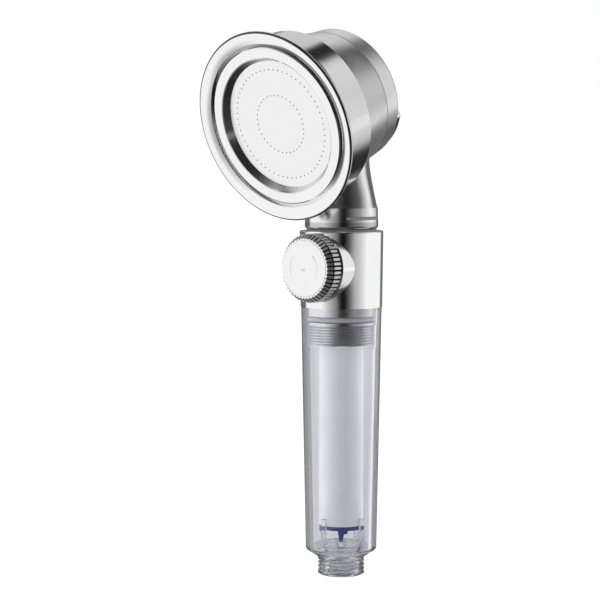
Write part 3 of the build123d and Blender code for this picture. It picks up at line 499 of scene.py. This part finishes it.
@dataclass(frozen=True)
class FadedPlating(Plating):
    """Plating that turns from a bright mirror at the rim to a satin grey behind it, with painted shade in
    the upper groove and a painted dark line on the rim's rolled lip.
    """

    satin: Colour = (0.8, 0.8, 0.805)
    satin_roughness: float = 0.15
    fade: Span = (2.6 * MM, 6.5 * MM)
    # colour of the painted shade in the groove, on its upper side only
    recess_shade: Colour = (0.16, 0.16, 0.163)
    recess_shade_radius: float = 36.8 * MM
    recess_shade_edge: float = 0.3 * MM
    recess_shade_lean: float = 0.5
    recess_shade_foot: Span = (-22.0 * MM, -8.0 * MM)
    # colour of a painted dark line on the rim's rolled lip, standing in for shade
    edge_shade: Colour = (0.09, 0.09, 0.092)
    edge_shade_radius: float = 41.3 * MM
    edge_shade_soft: float = 0.25 * MM
    front: Span = (0.35 * MM, 0.6 * MM)

    def sockets(self, place: Signal) -> dict:
        """A mirror in front and satin behind, with painted shade in the upper recess and a painted dark line
        on the rolled rim.

        Args:
            place: Object coordinates.

        Returns:
            Values and signals by socket name.
        """
        graph = place.graph
        axes = HeadAxes()
        depth = axes.depth(place)
        reach = axes.reach(place)
        behind = Fade(*self.fade).of(depth)
        # painted shade: the groove is darkened inside a radius, and only on its upper side where shade falls
        upper = Fade(*self.recess_shade_foot).of(axes.up(place) + self.recess_shade_lean * axes.across(place))
        inside = Fade(self.recess_shade_radius, self.recess_shade_radius - self.recess_shade_edge).of(reach) * upper
        front = Fade(*self.front, 1.0, 0.0).of(depth)
        # painted shade: a dark line painted on the front of the rim's rolled lip
        rolled = Fade(self.edge_shade_radius, self.edge_shade_radius + self.edge_shade_soft).of(reach) * front
        bright = graph.mix(rolled, self.colour, self.edge_shade)
        dull = graph.mix(inside, self.satin, self.recess_shade)
        roughness = graph.choose(behind, self.satin_roughness, self.roughness)
        return self.metal(place, graph.mix(behind, bright, dull),
                          self.hazed(self.streaks.of(place)) + roughness)


@dataclass(frozen=True)
class ClearPlastic(Finish):
    """Clear moulded plastic with a faint cold tint, and painted shade at the root of the inlet thread."""

    colour: Colour = (0.92, 0.931, 0.97)
    roughness: float = 0.02
    refraction: float = 1.49
    clarity: float = 0.985
    # colour of the painted shade at the inlet thread's root
    root: Colour = (0.5, 0.52, 0.6)
    root_shade_band: Band = Band(9.3 * MM, 9.95 * MM, 0.2 * MM)
    thread_top: float = 7.6 * MM
    thread_edge: float = 0.1 * MM
    handling: Noise = Noise(140.0, 4.0)
    tinted: Span = (0.45, 0.7)
    tint_share: float = 0.97
    smeared: Span = (0.35, 0.7)
    smear: float = 0.04
    ripples: Noise = Noise(70.0, 1.0)
    ripple: float = 0.000002

    def sockets(self, place: Signal) -> dict:
        """Clear, with marks from handling and slow ripples from the mould.

        Args:
            place: Object coordinates.

        Returns:
            Values and signals by socket name.
        """
        graph = place.graph
        handled = self.handling.of(place)
        radius = graph.length(graph.axis(place, "X"), graph.axis(place, "Y"))
        in_thread = Fade(self.thread_top - self.thread_edge, self.thread_top, 1.0, 0.0)
        # painted shade: a darker tint at the inlet thread's root, up to the thread's top
        root_shade_mask = self.root_shade_band.of(radius) * in_thread.of(graph.axis(place, "Z"))
        wall = graph.mix(Fade(*self.tinted).of(handled), self.colour, scaled(self.colour, self.tint_share))
        return {"Base Color": graph.mix(root_shade_mask, wall, self.root),
                "Roughness": Fade(*self.smeared, self.roughness, self.roughness + self.smear).of(handled),
                "IOR": self.refraction, "Transmission Weight": self.clarity,
                "Normal": graph.bump(self.ripples.of(place), self.ripple)}


@dataclass(frozen=True)
class Moulded(Finish):
    """Opaque moulded plastic or rubber with a fine grain."""

    colour: Colour
    roughness: float
    roughness_change: float = 0.06
    clouds: Noise = Noise(150.0, 3.0)
    clouded_share: float = 0.88
    grain: Noise = Noise(2500.0)
    grain_height: float = 0.00001
    spread: Span = (0.3, 0.7)

    def sockets(self, place: Signal) -> dict:
        """A tint that clouds a little, over a fine grain.

        Args:
            place: Object coordinates.

        Returns:
            Values and signals by socket name.
        """
        graph = place.graph
        clear = Fade(*self.spread).of(self.clouds.of(place))
        grain = self.grain.of(place)
        rough = Fade(*self.spread, *around(self.roughness, self.roughness_change))
        return {"Base Color": graph.mix(clear, scaled(self.colour, self.clouded_share), self.colour),
                "Roughness": rough.of(grain), "Normal": graph.bump(grain, self.grain_height)}


@dataclass(frozen=True)
class PressedFibre(Finish):
    """White melt-blown fibre of the filter cartridge."""

    colour: Colour = (0.97, 0.97, 0.96)
    shade: Colour = (0.92, 0.92, 0.925)
    roughness: float = 0.95
    sheen: float = 0.2
    strands: Noise = Noise(detail=5.0, stretch=(900.0, 900.0, 3200.0))
    lumps: Noise = Noise(260.0, 3.0)
    spread: Span = (0.3, 0.62)
    height: float = 0.00008

    def sockets(self, place: Signal) -> dict:
        """Matted fibres that lie mostly round the cartridge.

        Args:
            place: Object coordinates.

        Returns:
            Values and signals by socket name.
        """
        graph = place.graph
        strands = self.strands.of(place)
        relief = strands + self.lumps.of(place)
        return {"Base Color": graph.mix(Fade(*self.spread).of(strands), self.shade, self.colour),
                "Roughness": self.roughness, "Sheen Weight": self.sheen,
                "Normal": graph.bump(relief, self.height)}


@dataclass(frozen=True)
class Turned(Finish):
    """Bare metal with the marks of the lathe."""

    colour: Colour
    roughness: float = 0.25
    roughness_change: float = 0.15
    marks: Noise = Noise(detail=3.0, stretch=(200.0, 3000.0, 6000.0))
    marked: Span = (0.3, 0.7)
    mark_height: float = 0.000006
    clouds: Noise = Noise(180.0, 3.0)
    tarnished: Span = (0.35, 0.7)
    tarnish_share: float = 0.75

    def sockets(self, place: Signal) -> dict:
        """Fine turning marks, and a tarnish that clouds the colour.

        Args:
            place: Object coordinates.

        Returns:
            Values and signals by socket name.
        """
        graph = place.graph
        marks = self.marks.of(place)
        tarnish = Fade(*self.tarnished).of(self.clouds.of(place))
        rough = Fade(*self.marked, self.roughness, self.roughness + self.roughness_change)
        return {"Base Color": graph.mix(tarnish, self.colour, scaled(self.colour, self.tarnish_share)),
                "Metallic": 1.0, "Roughness": rough.of(marks), "Normal": graph.bump(marks, self.mark_height)}


@dataclass(frozen=True)
class RolledSheet(Finish):
    """Pale satin steel of the spray plate, rolled in one direction, with painted shade round its holes."""

    colour: Colour = (0.98, 0.98, 0.98)
    roughness: float = 0.24
    roughness_change: float = 0.05
    scratches: Noise = Noise(detail=3.0, stretch=(180.0, 4200.0, 4200.0))
    scratched: Span = (0.35, 0.65)
    scratched_share: float = 0.96
    scratch_height: float = 0.000001
    spread: Span = (0.3, 0.7)
    circles: tuple[tuple[float, int], tuple[float, int]] = ((12.9 * MM, 36), (24.3 * MM, 60))
    # size and share of the painted shade round each hole
    hole_shade_radius: float = 0.42 * MM
    hole_shade_core: float = 0.6
    hole_shade_share: float = 0.5

    def pierced(self, place: Signal) -> Signal:
        """Finds the rings of painted shade round the holes on the plate's circles.

        Args:
            place: Object coordinates.

        Returns:
            1 in the painted shade round the holes, and 0 between them.
        """
        graph = place.graph
        axes = HeadAxes()
        reach = axes.reach(place)
        angle = graph.math("ARCTAN2", axes.up(place), axes.across(place))
        hole_shade = Fade(self.hole_shade_core * self.hole_shade_radius, self.hole_shade_radius, 1.0, 0.0)
        marks = []
        for radius, count in self.circles:
            aside = graph.math("PINGPONG", angle, math.pi / count) * radius
            marks.append(hole_shade.of(graph.length(aside, reach - radius)))
        return graph.math("MAXIMUM", *marks)

    def sockets(self, place: Signal) -> dict:
        """Fine scratches across the plate, under a bright satin sheen.

        Args:
            place: Object coordinates.

        Returns:
            Values and signals by socket name.
        """
        graph = place.graph
        scratches = self.scratches.of(place)
        unmarked = Fade(*self.scratched).of(scratches)
        sheet = graph.mix(unmarked, scaled(self.colour, self.scratched_share), self.colour)
        # painted shade: the plate is darkened round each hole
        colour = graph.mix(self.pierced(place), sheet, scaled(self.colour, self.hole_shade_share))
        rough = Fade(*self.spread, *around(self.roughness, self.roughness_change))
        return {"Base Color": colour, "Metallic": 1.0, "Roughness": rough.of(scratches),
                "Normal": graph.bump(scratches, self.scratch_height)}


CHROME = Plating("chrome_plating", "chrome")
KNOB_CHROME = FlutedPlating("knob_plating", "chrome", roughness=0.06)
NECK_CHROME = CollarPlating("neck_plating", "chrome", roughness=0.15)
THREAD_CHROME = ThreadPlating("thread_plating", "chrome")
SATIN_CHROME = Plating("satin_plating", "chrome", (0.92, 0.92, 0.925), 0.3, 0.06)
BEZEL_CHROME = FadedPlating("bezel_plating", "chrome")
# the face ring lies wholly inside the recess radius, so its upper side takes the painted shade
RING_CHROME = FadedPlating("ring_plating", "chrome", satin=(0.85, 0.85, 0.855), satin_roughness=0.2,
                           recess_shade=(0.35, 0.35, 0.355), fade=(1.8 * MM, 2.3 * MM))
CAP_CHROME = EngravedPlating("cap_plating", "polished_cap", (0.96, 0.96, 0.96), 0.16, 0.05)
CLEAR = ClearPlastic("clear_moulding", "clear_plastic")
FROSTED = ClearPlastic("frosted_moulding", "clear_plastic", (0.93, 0.95, 0.995), roughness=0.18)
COTTON = PressedFibre("filter_fibre", "filter_cotton")
NAVY = Moulded("navy_moulding", "navy_plastic", (0.012, 0.03, 0.22), 0.3)
WHITE = Moulded("white_moulding", "white_plastic", (0.8, 0.8, 0.79), 0.4)
GREY = Moulded("grey_moulding", "grey_plastic", (0.16, 0.16, 0.17), 0.45)
BLACK_RUBBER = Moulded("black_seal_rubber", "black_rubber", (0.02, 0.02, 0.02), 0.7)
PALE_RUBBER = Moulded("pale_seal_rubber", "pale_rubber", (0.68, 0.72, 0.68), 0.5)
BRASS = Turned("turned_brass", "brass", (0.75, 0.6, 0.32))
STEEL = Turned("turned_steel", "steel", (0.6, 0.6, 0.61), 0.22)
PLATE = RolledSheet("satin_sheet", "plate_steel")


def dress(piece: bpy.types.Object, finish: Finish) -> None:
    """Gives a piece its material, and reports it.

    Args:
        piece: A new piece or a node's object.
        finish: The finish that it gets all over.
    """
    piece.data.materials.clear()
    piece.data.materials.append(finish.material())
    LOG.info("%s: %s", piece.name, finish.name)


def dress_nodes(finish: Finish, *nodes: str) -> None:
    """Gives nodes of the frame one finish."""
    for node in nodes:
        dress(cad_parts[node], finish)


def mount(piece: bpy.types.Object, body: Body, finish: Finish, *nodes: str) -> None:
    """Lets a new piece ride on a body, and dresses it.

    Args:
        piece: The new piece.
        body: The body that carries it.
        finish: Its finish.
        *nodes: The nodes that it stands for, if any.
    """
    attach(piece, body.value)
    if nodes:
        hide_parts(*nodes)
    dress(piece, finish)


# ------------------------------------------------ turned shapes


@dataclass(frozen=True)
class Thread:
    """A screw thread: its crest's radius, depth, pitch, the heights of its ends, and its flanks' share.

    Its ends run out over a part of the pitch, and slack is how far off the crest a vertex may lie.
    """

    crest: float
    depth: float
    pitch: float
    foot: float
    top: float
    flank: float = 0.76
    runout: float = 0.4
    rings_per_pitch: int = 10
    slack: float = 0.01 * MM

    def wall(self) -> Outline:
        """Outline points for a turned wall that the thread can be cut into.

        Returns:
            Points at the crest's radius, from the foot to the top.
        """
        length = self.top - self.foot
        count = round(length / self.pitch * self.rings_per_pitch)
        return [(self.crest, self.foot + length * ring / count) for ring in range(count + 1)]

    def radius(self, angle: float, height: float) -> float:
        """The flank's radius at one place.

        Args:
            angle: The place's angle round the axis, in radians.
            height: Its height.

        Returns:
            The radius, from the root's to the crest's.
        """
        turns = (height - self.foot) / self.pitch - angle / (2 * math.pi)
        from_root = abs(2 * (turns % 1.0) - 1)
        share = min(max((from_root - (1 - self.flank) / 2) / self.flank, 0.0), 1.0)
        end_distance = min(height - self.foot, self.top - height)
        fade = min(max(end_distance / (self.runout * self.pitch), 0.0), 1.0)
        return self.crest - self.depth * (1 - share) * fade

    def cut(self, piece: bpy.types.Object) -> None:
        """Cuts the thread into the wall of a turned piece.

        Args:
            piece: A piece turned from an outline that holds the points of wall().
        """
        for vertex in piece.data.vertices:
            x, y, z = vertex.co
            reach = math.hypot(x, y)
            on_crest = abs(reach - self.crest) < self.slack
            if on_crest and self.foot - self.slack < z < self.top + self.slack:
                factor = self.radius(math.atan2(y, x), z) / reach
                vertex.co = (x * factor, y * factor, z)


def turn(name: str, outline: Outline, steps: int = 160) -> bpy.types.Object:
    """Turns a closed outline about the Z axis.

    Args:
        name: The new piece's name.
        outline: Corners of the half section, as pairs of a radius and a height.
        steps: Faces round the axis.

    Returns:
        The turned piece, at the origin.
    """
    bpy.ops.object.select_all(action="DESELECT")
    first = outline[0]
    bpy.ops.mesh.primitive_circle_add(vertices=3, radius=MM, location=(first[0], 0.0, first[1]))
    piece = bpy.context.object
    piece.name = name
    bpy.ops.object.transform_apply(location=True)
    bpy.ops.object.mode_set(mode="EDIT")
    bpy.ops.mesh.select_all(action="SELECT")
    bpy.ops.mesh.merge(type="CENTER")
    for start, end in zip(outline, outline[1:] + outline[:1]):
        step = (end[0] - start[0], 0.0, end[1] - start[1])
        bpy.ops.mesh.extrude_vertices_move(TRANSFORM_OT_translate={"value": step})
    bpy.ops.mesh.select_all(action="SELECT")
    bpy.ops.mesh.remove_doubles(threshold=POINT_WELD)
    bpy.ops.mesh.spin(steps=steps, angle=2 * math.pi, center=(0.0, 0.0, 0.0), axis=(0.0, 0.0, 1.0))
    bpy.ops.mesh.select_all(action="SELECT")
    bpy.ops.mesh.remove_doubles(threshold=SEAM_WELD)
    bpy.ops.mesh.normals_make_consistent(inside=False)
    bpy.ops.object.mode_set(mode="OBJECT")
    return piece


def smooth(piece: bpy.types.Object, degrees: float = 35.0) -> None:
    """Shades a piece smooth.

    Args:
        piece: The piece.
        degrees: Edges sharper than this stay crisp.
    """
    bpy.ops.object.select_all(action="DESELECT")
    piece.select_set(True)
    bpy.context.view_layer.objects.active = piece
    bpy.ops.object.shade_smooth_by_angle(angle=math.radians(degrees))


def rounded(outline: Outline, corner: int, radius: float, points: int = 4) -> Outline:
    """Rounds one corner of an outline.

    Args:
        outline: Corners of a closed outline.
        corner: The corner's number in it.
        radius: Distance from the corner at which the round starts and ends.
        points: Corners of the round.

    Returns:
        The outline with the corner replaced by its round.
    """
    here = Vector(outline[corner])
    before = Vector(outline[corner - 1])
    after = Vector(outline[(corner + 1) % len(outline)])
    start = here + (before - here).normalized() * radius
    end = here + (after - here).normalized() * radius
    curve = []
    for point in range(points + 1):
        share = point / points
        place = (1 - share) ** 2 * start + 2 * share * (1 - share) * here + share ** 2 * end
        curve.append((place.x, place.y))
    return outline[:corner] + curve + outline[corner + 1:]


# ------------------------------------------------ sub-assemblies


@dataclass
class FilterHandle:
    """Clear handle with its male inlet thread, and the filter cartridge inside it."""

    inlet: Thread = Thread(10.4775 * MM, 0.9 * MM, 1.814 * MM, 0.5 * MM, 7.4 * MM)
    inlet_lead: float = 0.8 * MM
    inlet_bore: float = 7.4 * MM
    inlet_chamfer: float = 0.5 * MM
    inlet_length: float = 8.0 * MM
    foot_radius: float = 15.9 * MM
    top_radius: float = 18.0 * MM
    top_round: float = 0.25 * MM
    shoulder: float = 11.5 * MM
    shoulder_round: float = 1.0 * MM
    length: float = 120.7 * MM
    floor_height: float = 12.0 * MM
    floor_cone: float = 2.5 * MM
    floor_round: float = 0.6 * MM
    chamber_foot: float = 12.5 * MM
    chamber_top: float = 14.4 * MM
    thread_bore: float = 15.0 * MM
    thread_foot: float = 102.8 * MM
    thread_top: float = 112.8 * MM
    land_bore: float = 15.65 * MM
    seal_height: float = 115.55 * MM
    seal_radius: float = 1.2 * MM
    seal_gap: float = 0.025 * MM
    seal_flat: float = 0.97
    seal_corners: int = 20
    seal_steps: int = 96
    seal_crease: float = 60.0

    def build(self) -> None:
        """Makes and dresses the handle's pieces."""
        self.make_tube()
        self.make_seal()
        dress_nodes(COTTON, "filter_element")
        dress_nodes(NAVY, "filter_end_cap")
        dress_nodes(FROSTED, "filter_cage")
        dress_nodes(WHITE, "filter_top_cap")
        dress_nodes(BLACK_RUBBER, "filter_top_seal")

    def make_tube(self) -> None:
        """The clear tube, as one closed wall from its inlet thread to its joint with the valve."""
        shoulder = (self.foot_radius, self.shoulder)
        top = (self.top_radius, self.length)
        chamber_floor = (self.chamber_foot, self.floor_height)
        outline = [(self.inlet_bore + self.inlet_chamfer, 0.0), (self.inlet.crest - self.inlet_lead, 0.0),
                   *self.inlet.wall(), (self.inlet.crest, self.inlet_length), shoulder, top,
                   (self.land_bore, self.length), (self.land_bore, self.thread_top),
                   (self.thread_bore, self.thread_top), (self.thread_bore, self.thread_foot),
                   (self.chamber_top, self.thread_foot), chamber_floor,
                   (self.inlet_bore, self.floor_height - self.floor_cone),
                   (self.inlet_bore, self.inlet_chamfer)]
        rounds = {top: self.top_round, shoulder: self.shoulder_round, chamber_floor: self.floor_round}
        for corner, radius in rounds.items():
            outline = rounded(outline, outline.index(corner), radius)
        tube = turn("handle_tube", outline)
        self.inlet.cut(tube)
        smooth(tube)
        mount(tube, Body.HANDLE, CLEAR, "clear_handle")

    def make_seal(self) -> None:
        """The seal in the valve's foot, flattened where it meets the tube."""
        middle = self.land_bore - self.seal_gap - self.seal_radius
        outline = []
        for corner in range(self.seal_corners):
            angle = 2 * math.pi * corner / self.seal_corners
            bulge = min(math.cos(angle), self.seal_flat)
            height = self.seal_height + self.seal_radius * math.sin(angle)
            outline.append((middle + self.seal_radius * bulge, height))
        seal = turn("joint_seal", outline, self.seal_steps)
        smooth(seal, self.seal_crease)
        mount(seal, Body.HANDLE, PALE_RUBBER, "handle_seal")


@dataclass
class StopValve:
    """Valve body with its threaded foot, and the stem that the knob turns."""

    foot_thread: Thread = Thread(FOOT_THREAD_CREST, FOOT_THREAD_DEPTH, 1.25 * MM, 104.3 * MM, 112.9 * MM,
                                 flank=0.6)
    thread_steps: int = 144
    thread_crease: float = 25.0
    sleeve_bore: float = 14.1 * MM

    def build(self) -> None:
        """Makes and dresses the valve's pieces."""
        self.make_foot_thread()
        dress_nodes(CHROME, "valve_body")
        dress_nodes(WHITE, "valve_seat")
        dress_nodes(BRASS, "stem_gland", "swivel_spigot", "valve_stem")
        dress_nodes(GREY, "swivel_washer")
        dress_nodes(BLACK_RUBBER, "swivel_seal", "stem_seals")

    def make_foot_thread(self) -> None:
        """The plated thread that screws into the clear handle."""
        outline = [(self.sleeve_bore, self.foot_thread.foot), *self.foot_thread.wall(),
                   (self.sleeve_bore, self.foot_thread.top)]
        thread = turn("valve_foot_thread", outline, self.thread_steps)
        self.foot_thread.cut(thread)
        smooth(thread, self.thread_crease)
        mount(thread, Body.HANDLE, THREAD_CHROME)


@dataclass
class FlutedKnob:
    """The knob's fluted grip, its satin cap and the screw under it."""

    def build(self) -> None:
        """Dresses the knob's pieces."""
        dress_nodes(KNOB_CHROME, "knob")
        dress_nodes(CAP_CHROME, "knob_cap")
        dress_nodes(STEEL, "knob_screw")


@dataclass
class SwivelNeck:
    """The neck that carries the head and turns on the valve's journal."""

    def build(self) -> None:
        """Dresses the neck's pieces."""
        dress_nodes(NECK_CHROME, "neck")
        dress_nodes(GREY, "swivel_clip")
        dress_nodes(STEEL, "neck_screws")
        dress_nodes(BLACK_RUBBER, "neck_seal")


@dataclass
class SprayHead:
    """The drum with its flared bezel, face ring and perforated plate."""

    def build(self) -> None:
        """Dresses the head's pieces."""
        dress_nodes(RING_CHROME, "face_ring")
        dress_nodes(BEZEL_CHROME, "bezel_ring")
        dress_nodes(SATIN_CHROME, "head_housing")
        dress_nodes(PLATE, "spray_plate")
        dress_nodes(WHITE, "nozzle_body", "diffuser_plate")
        dress_nodes(BLACK_RUBBER, "housing_seal", "plate_seal")


# ------------------------------------------------ studio

# Angles of the tent are in degrees from the camera, positive to its right and up.


@dataclass(frozen=True)
class Wall:
    """A wall of the tent. At each of three heights, its fades over azimuth add up to its brightness."""

    level: tuple[Fade, ...]
    high: tuple[Fade, ...]
    low: tuple[Fade, ...]
    raised: Fade
    lowered: Fade
    level_end: Fade
    end: Fade
    lean: float = 0.0
    leaning: Fade = Slope(-50.0, 0.0, -50.0, 0.0)

    def light(self, azimuth: Signal, elevation: Signal) -> Signal:
        """Brightness of the wall in one direction.

        Args:
            azimuth: The direction's angle from the camera.
            elevation: Its angle above the horizon.

        Returns:
            The brightness as the eye sees it, before it is made linear.
        """
        graph = azimuth.graph
        leaned = azimuth - self.lean * self.leaning.of(elevation)
        level, high, low = (sum(fade.of(azimuth) for fade in fades) * end.of(leaned)
                            for fades, end in ((self.level, self.level_end), (self.high, self.end),
                                               (self.low, self.end)))
        upper = graph.choose(self.raised.of(elevation), high, level)
        return graph.choose(self.lowered.of(elevation), low, upper)


@dataclass(frozen=True)
class Flag:
    """A grey flag that takes a share of the tent's light in one window of directions."""

    share: float
    across: Band
    up: Band

    def passes(self, azimuth: Signal, elevation: Signal) -> Signal:
        """The share of light that passes it."""
        return 1.0 - self.share * self.across.of(azimuth) * self.up.of(elevation)


@dataclass
class Tent:
    """White tent as the world: walls at both sides, grey behind, and dark round the lens.

    Clear plastic shows a backdrop as well, and matt surfaces are lit by a fill brighter than the walls.
    """

    left: Wall = Wall(level=(Slope(0.0, -15.0, 0.12, 0.5), Slope(-15.0, -58.0, 0.0, 0.47)),
                      high=(Slope(-8.0, -98.0, 0.17, 0.93),), low=(Slope(-12.0, -56.0, 0.32, 0.97),),
                      raised=Fade(8.0, 20.0), lowered=Fade(-11.0, -17.0),
                      level_end=Fade(-113.0, -125.0, 1.0, 0.42), end=Fade(-113.0, -125.0, 1.0, 0.42),
                      lean=0.36)
    right: Wall = Wall(level=(Slope(5.0, 36.0, 0.08, 0.68), Slope(36.0, 74.0, 0.0, 0.3)),
                       high=(Slope(10.0, 62.0, 0.13, 0.36), Slope(62.0, 98.0, 0.0, 0.56)),
                       low=(Slope(56.0, 98.0, 0.1, 0.88),),
                       raised=Fade(-1.5, 1.5), lowered=Fade(-7.0, -9.0),
                       level_end=Fade(132.0, 146.0, 1.0, 0.4), end=Fade(110.0, 130.0, 1.0, 0.42))
    back: Fade = Fade(142.0, 154.0)
    back_look: Fade = Fade(12.0, 28.0, 0.45, 0.85)
    upper_flag: Flag = Flag(0.65, Band(118.0, 152.0, 14.0), Band(30.0, 71.0, 8.0))
    lower_flag: Flag = Flag(0.55, Band(120.0, 152.0, 14.0), Band(-40.0, -20.0, 5.0))
    ceiling: Fade = Fade(56.0, 84.0, 1.0, 0.5)
    ground: Fade = Fade(-75.0, -42.0, 0.5, 1.0)
    gamma: float = 2.2

    second_wall: Fade = Slope(2.4, 2.6)
    inner: Fade = Fade(138.0, 149.0, 0.45, 0.62)
    inner_middle: Fade = Fade(163.0, 172.0, 0.0, 0.12)
    outer: float = 0.34
    outer_glow: float = 0.6
    outer_window: Band = Band(112.0, 138.0, 6.0)
    in_front: Fade = Fade(70.0, 100.0, 1.0, 0.0)
    front_steep: Fade = Fade(14.0, 24.0, 0.02, 0.3)
    front_shade: float = 0.15

    scattered: Fade = Slope(0.4, 0.6)
    fill_gain: float = 2.5
    fill_base: float = 0.35
    fill_side: float = 1.3
    fill_window: Band = Band(70.0, 140.0, 30.0)

    def build(self, to_camera: Vector, to_right: Vector) -> None:
        """Makes the tent the scene's world, plain white where the camera sees it.

        Args:
            to_camera: Level direction towards the camera.
            to_right: Level direction to the camera's right.
        """
        world = bpy.data.worlds.new("tent")
        world.use_nodes = True
        bpy.context.scene.world = world
        graph = Graph(world.node_tree)
        ray = graph.node("ShaderNodeTexCoord", output="Generated")
        degrees = 180 / math.pi
        azimuth = graph.math("ARCTAN2", graph.along(ray, to_right), graph.along(ray, to_camera)) * degrees
        elevation = graph.math("ARCSINE", graph.axis(ray, "Z")) * degrees
        light = self.light(azimuth, elevation)
        backdrop = graph.math("MAXIMUM", light, self.backdrop(azimuth, elevation))
        seen = graph.choose(graph.ray("Is Transmission Ray"), backdrop, light)
        fill = self.fill_gain * light + self.fill_base + self.fill_side * self.fill_window.of(azimuth)
        lit = graph.choose(self.scattered.of(graph.ray("Diffuse Depth")), fill, seen)
        strength = graph.choose(graph.ray("Is Camera Ray"), 1.0, lit)
        background = graph.node("ShaderNodeBackground", inputs={"Color": PLAIN_WHITE, "Strength": strength})
        graph.finish("ShaderNodeOutputWorld", background)

    def light(self, azimuth: Signal, elevation: Signal) -> Signal:
        """Brightness of the tent in one direction.

        Args:
            azimuth: The direction's angle from the camera.
            elevation: Its angle above the horizon.

        Returns:
            The tent's light there, in linear terms.
        """
        graph = azimuth.graph
        left, right = (wall.light(azimuth, elevation) for wall in (self.left, self.right))
        walls = graph.math("MAXIMUM", left, right)
        look = graph.choose(self.back.of(abs(azimuth)), self.back_look.of(elevation), walls)
        for flag in (self.upper_flag, self.lower_flag):
            look = look * flag.passes(azimuth, elevation)
        return graph.math("POWER", look * self.ceiling.of(elevation) * self.ground.of(elevation), self.gamma)

    def backdrop(self, azimuth: Signal, elevation: Signal) -> Signal:
        """What clear plastic shows behind it, at the least.

        Args:
            azimuth: The direction's angle from the camera.
            elevation: Its angle above the horizon.

        Returns:
            The backdrop's light there, in linear terms.
        """
        graph = azimuth.graph
        behind = abs(azimuth)
        in_front = self.in_front.of(behind)
        inner = self.inner.of(behind) + self.inner_middle.of(behind)
        inner = inner * graph.choose(in_front, self.front_steep.of(abs(elevation)), 1.0)
        outer = self.outer + self.outer_glow * self.outer_window.of(azimuth)
        outer = outer * (1.0 - self.front_shade * in_front)
        return graph.choose(self.second_wall.of(graph.ray("Transmission Depth")), inner, outer)


@dataclass
class Studio:
    """Camera, tent, pale floor and one soft lamp, placed by their distances from the handle's axis."""

    camera_azimuth: float = 41.5
    camera_pitch: float = 4.386
    camera_distance: float = 912.2 * MM
    camera_height: float = 193.5 * MM
    camera_offset: float = -18.5 * MM
    lens: float = 122.82
    sensor_width: float = 36.0
    sight: float = 50.0
    floor_side: float = 12.0
    floor_drop: float = 0.2 * MM
    floor_paint: Colour = (0.95, 0.95, 0.95)
    floor_glow: float = 1.12
    floor_glow_share: float = 0.88
    lamp_side: float = 1.0
    lamp_power: float = 7.0
    lamp_forward: float = 0.6
    lamp_left: float = 0.8
    lamp_height: float = 1.3
    aim_height: float = 0.12

    def directions(self) -> tuple[Vector, Vector]:
        """Level directions towards the camera and to its right."""
        azimuth = math.radians(self.camera_azimuth)
        return (Vector((math.sin(azimuth), -math.cos(azimuth), 0.0)),
                Vector((math.cos(azimuth), math.sin(azimuth), 0.0)))

    def build(self) -> None:
        """Sets up the studio round the part."""
        bpy.context.scene.view_settings.view_transform = "Standard"
        self.add_camera()
        Tent().build(*self.directions())
        self.add_floor()
        self.add_lamp()

    def add_camera(self) -> None:
        """Stands the camera in front of the spray face and to one side of it."""
        to_camera, to_right = self.directions()
        upright = Vector((0.0, 0.0, 1.0))
        pitch = math.radians(self.camera_pitch)
        forward = -math.cos(pitch) * to_camera - math.sin(pitch) * upright
        up = to_right.cross(forward)
        camera = bpy.data.cameras.new("camera")
        camera.lens = self.lens
        camera.sensor_width = self.sensor_width
        camera.clip_end = self.sight
        stand = bpy.data.objects.new("camera", camera)
        bpy.context.scene.collection.objects.link(stand)
        place = self.camera_distance * to_camera + self.camera_offset * to_right
        turned = Matrix((to_right, up, -forward)).transposed().to_4x4()
        stand.matrix_world = Matrix.Translation(place + self.camera_height * upright) @ turned
        bpy.context.scene.camera = stand

    def add_floor(self) -> None:
        """A pale floor under the inlet, which keeps a soft shadow."""
        bpy.ops.object.select_all(action="DESELECT")
        bpy.ops.mesh.primitive_plane_add(size=self.floor_side, location=(0.0, 0.0, -self.floor_drop))
        floor = bpy.context.object
        floor.name = "floor"
        floor.visible_glossy = False
        floor.visible_transmission = False
        material = bpy.data.materials.new("pale_floor")
        material.use_nodes = True
        graph = Graph(material.node_tree)
        paint = graph.node("ShaderNodeBsdfDiffuse", inputs={"Color": (*self.floor_paint, 1.0)})
        glow = graph.node("ShaderNodeEmission", inputs={"Color": PLAIN_WHITE, "Strength": self.floor_glow})
        share = graph.ray("Is Camera Ray") * self.floor_glow_share
        surface = graph.node("ShaderNodeMixShader", inputs={0: share, 1: paint, 2: glow})
        graph.finish("ShaderNodeOutputMaterial", surface)
        floor.data.materials.append(material)

    def add_lamp(self) -> None:
        """One wide soft lamp above and to the left of the camera."""
        to_camera, to_right = self.directions()
        lamp = bpy.data.lights.new("soft_lamp", "AREA")
        lamp.shape = "SQUARE"
        lamp.size = self.lamp_side
        lamp.energy = self.lamp_power
        stand = bpy.data.objects.new("soft_lamp", lamp)
        bpy.context.scene.collection.objects.link(stand)
        height = Vector((0.0, 0.0, self.lamp_height))
        stand.location = self.lamp_forward * to_camera - self.lamp_left * to_right + height
        aim = Vector((0.0, 0.0, self.aim_height)) - stand.location
        stand.rotation_euler = aim.to_track_quat("-Z", "Y").to_euler()
        stand.visible_glossy = False
        stand.visible_transmission = False
        stand.visible_camera = False


def main() -> None:
    """Builds the studio and every sub-assembly."""
    logging.basicConfig(level=logging.INFO, format="%(message)s")
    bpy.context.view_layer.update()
    Studio().build()
    for assembly in (FilterHandle(), StopValve(), FlutedKnob(), SwivelNeck(), SprayHead()):
        LOG.info("building %s", type(assembly).__name__)
        assembly.build()


if __name__ == "__main__":
    main()
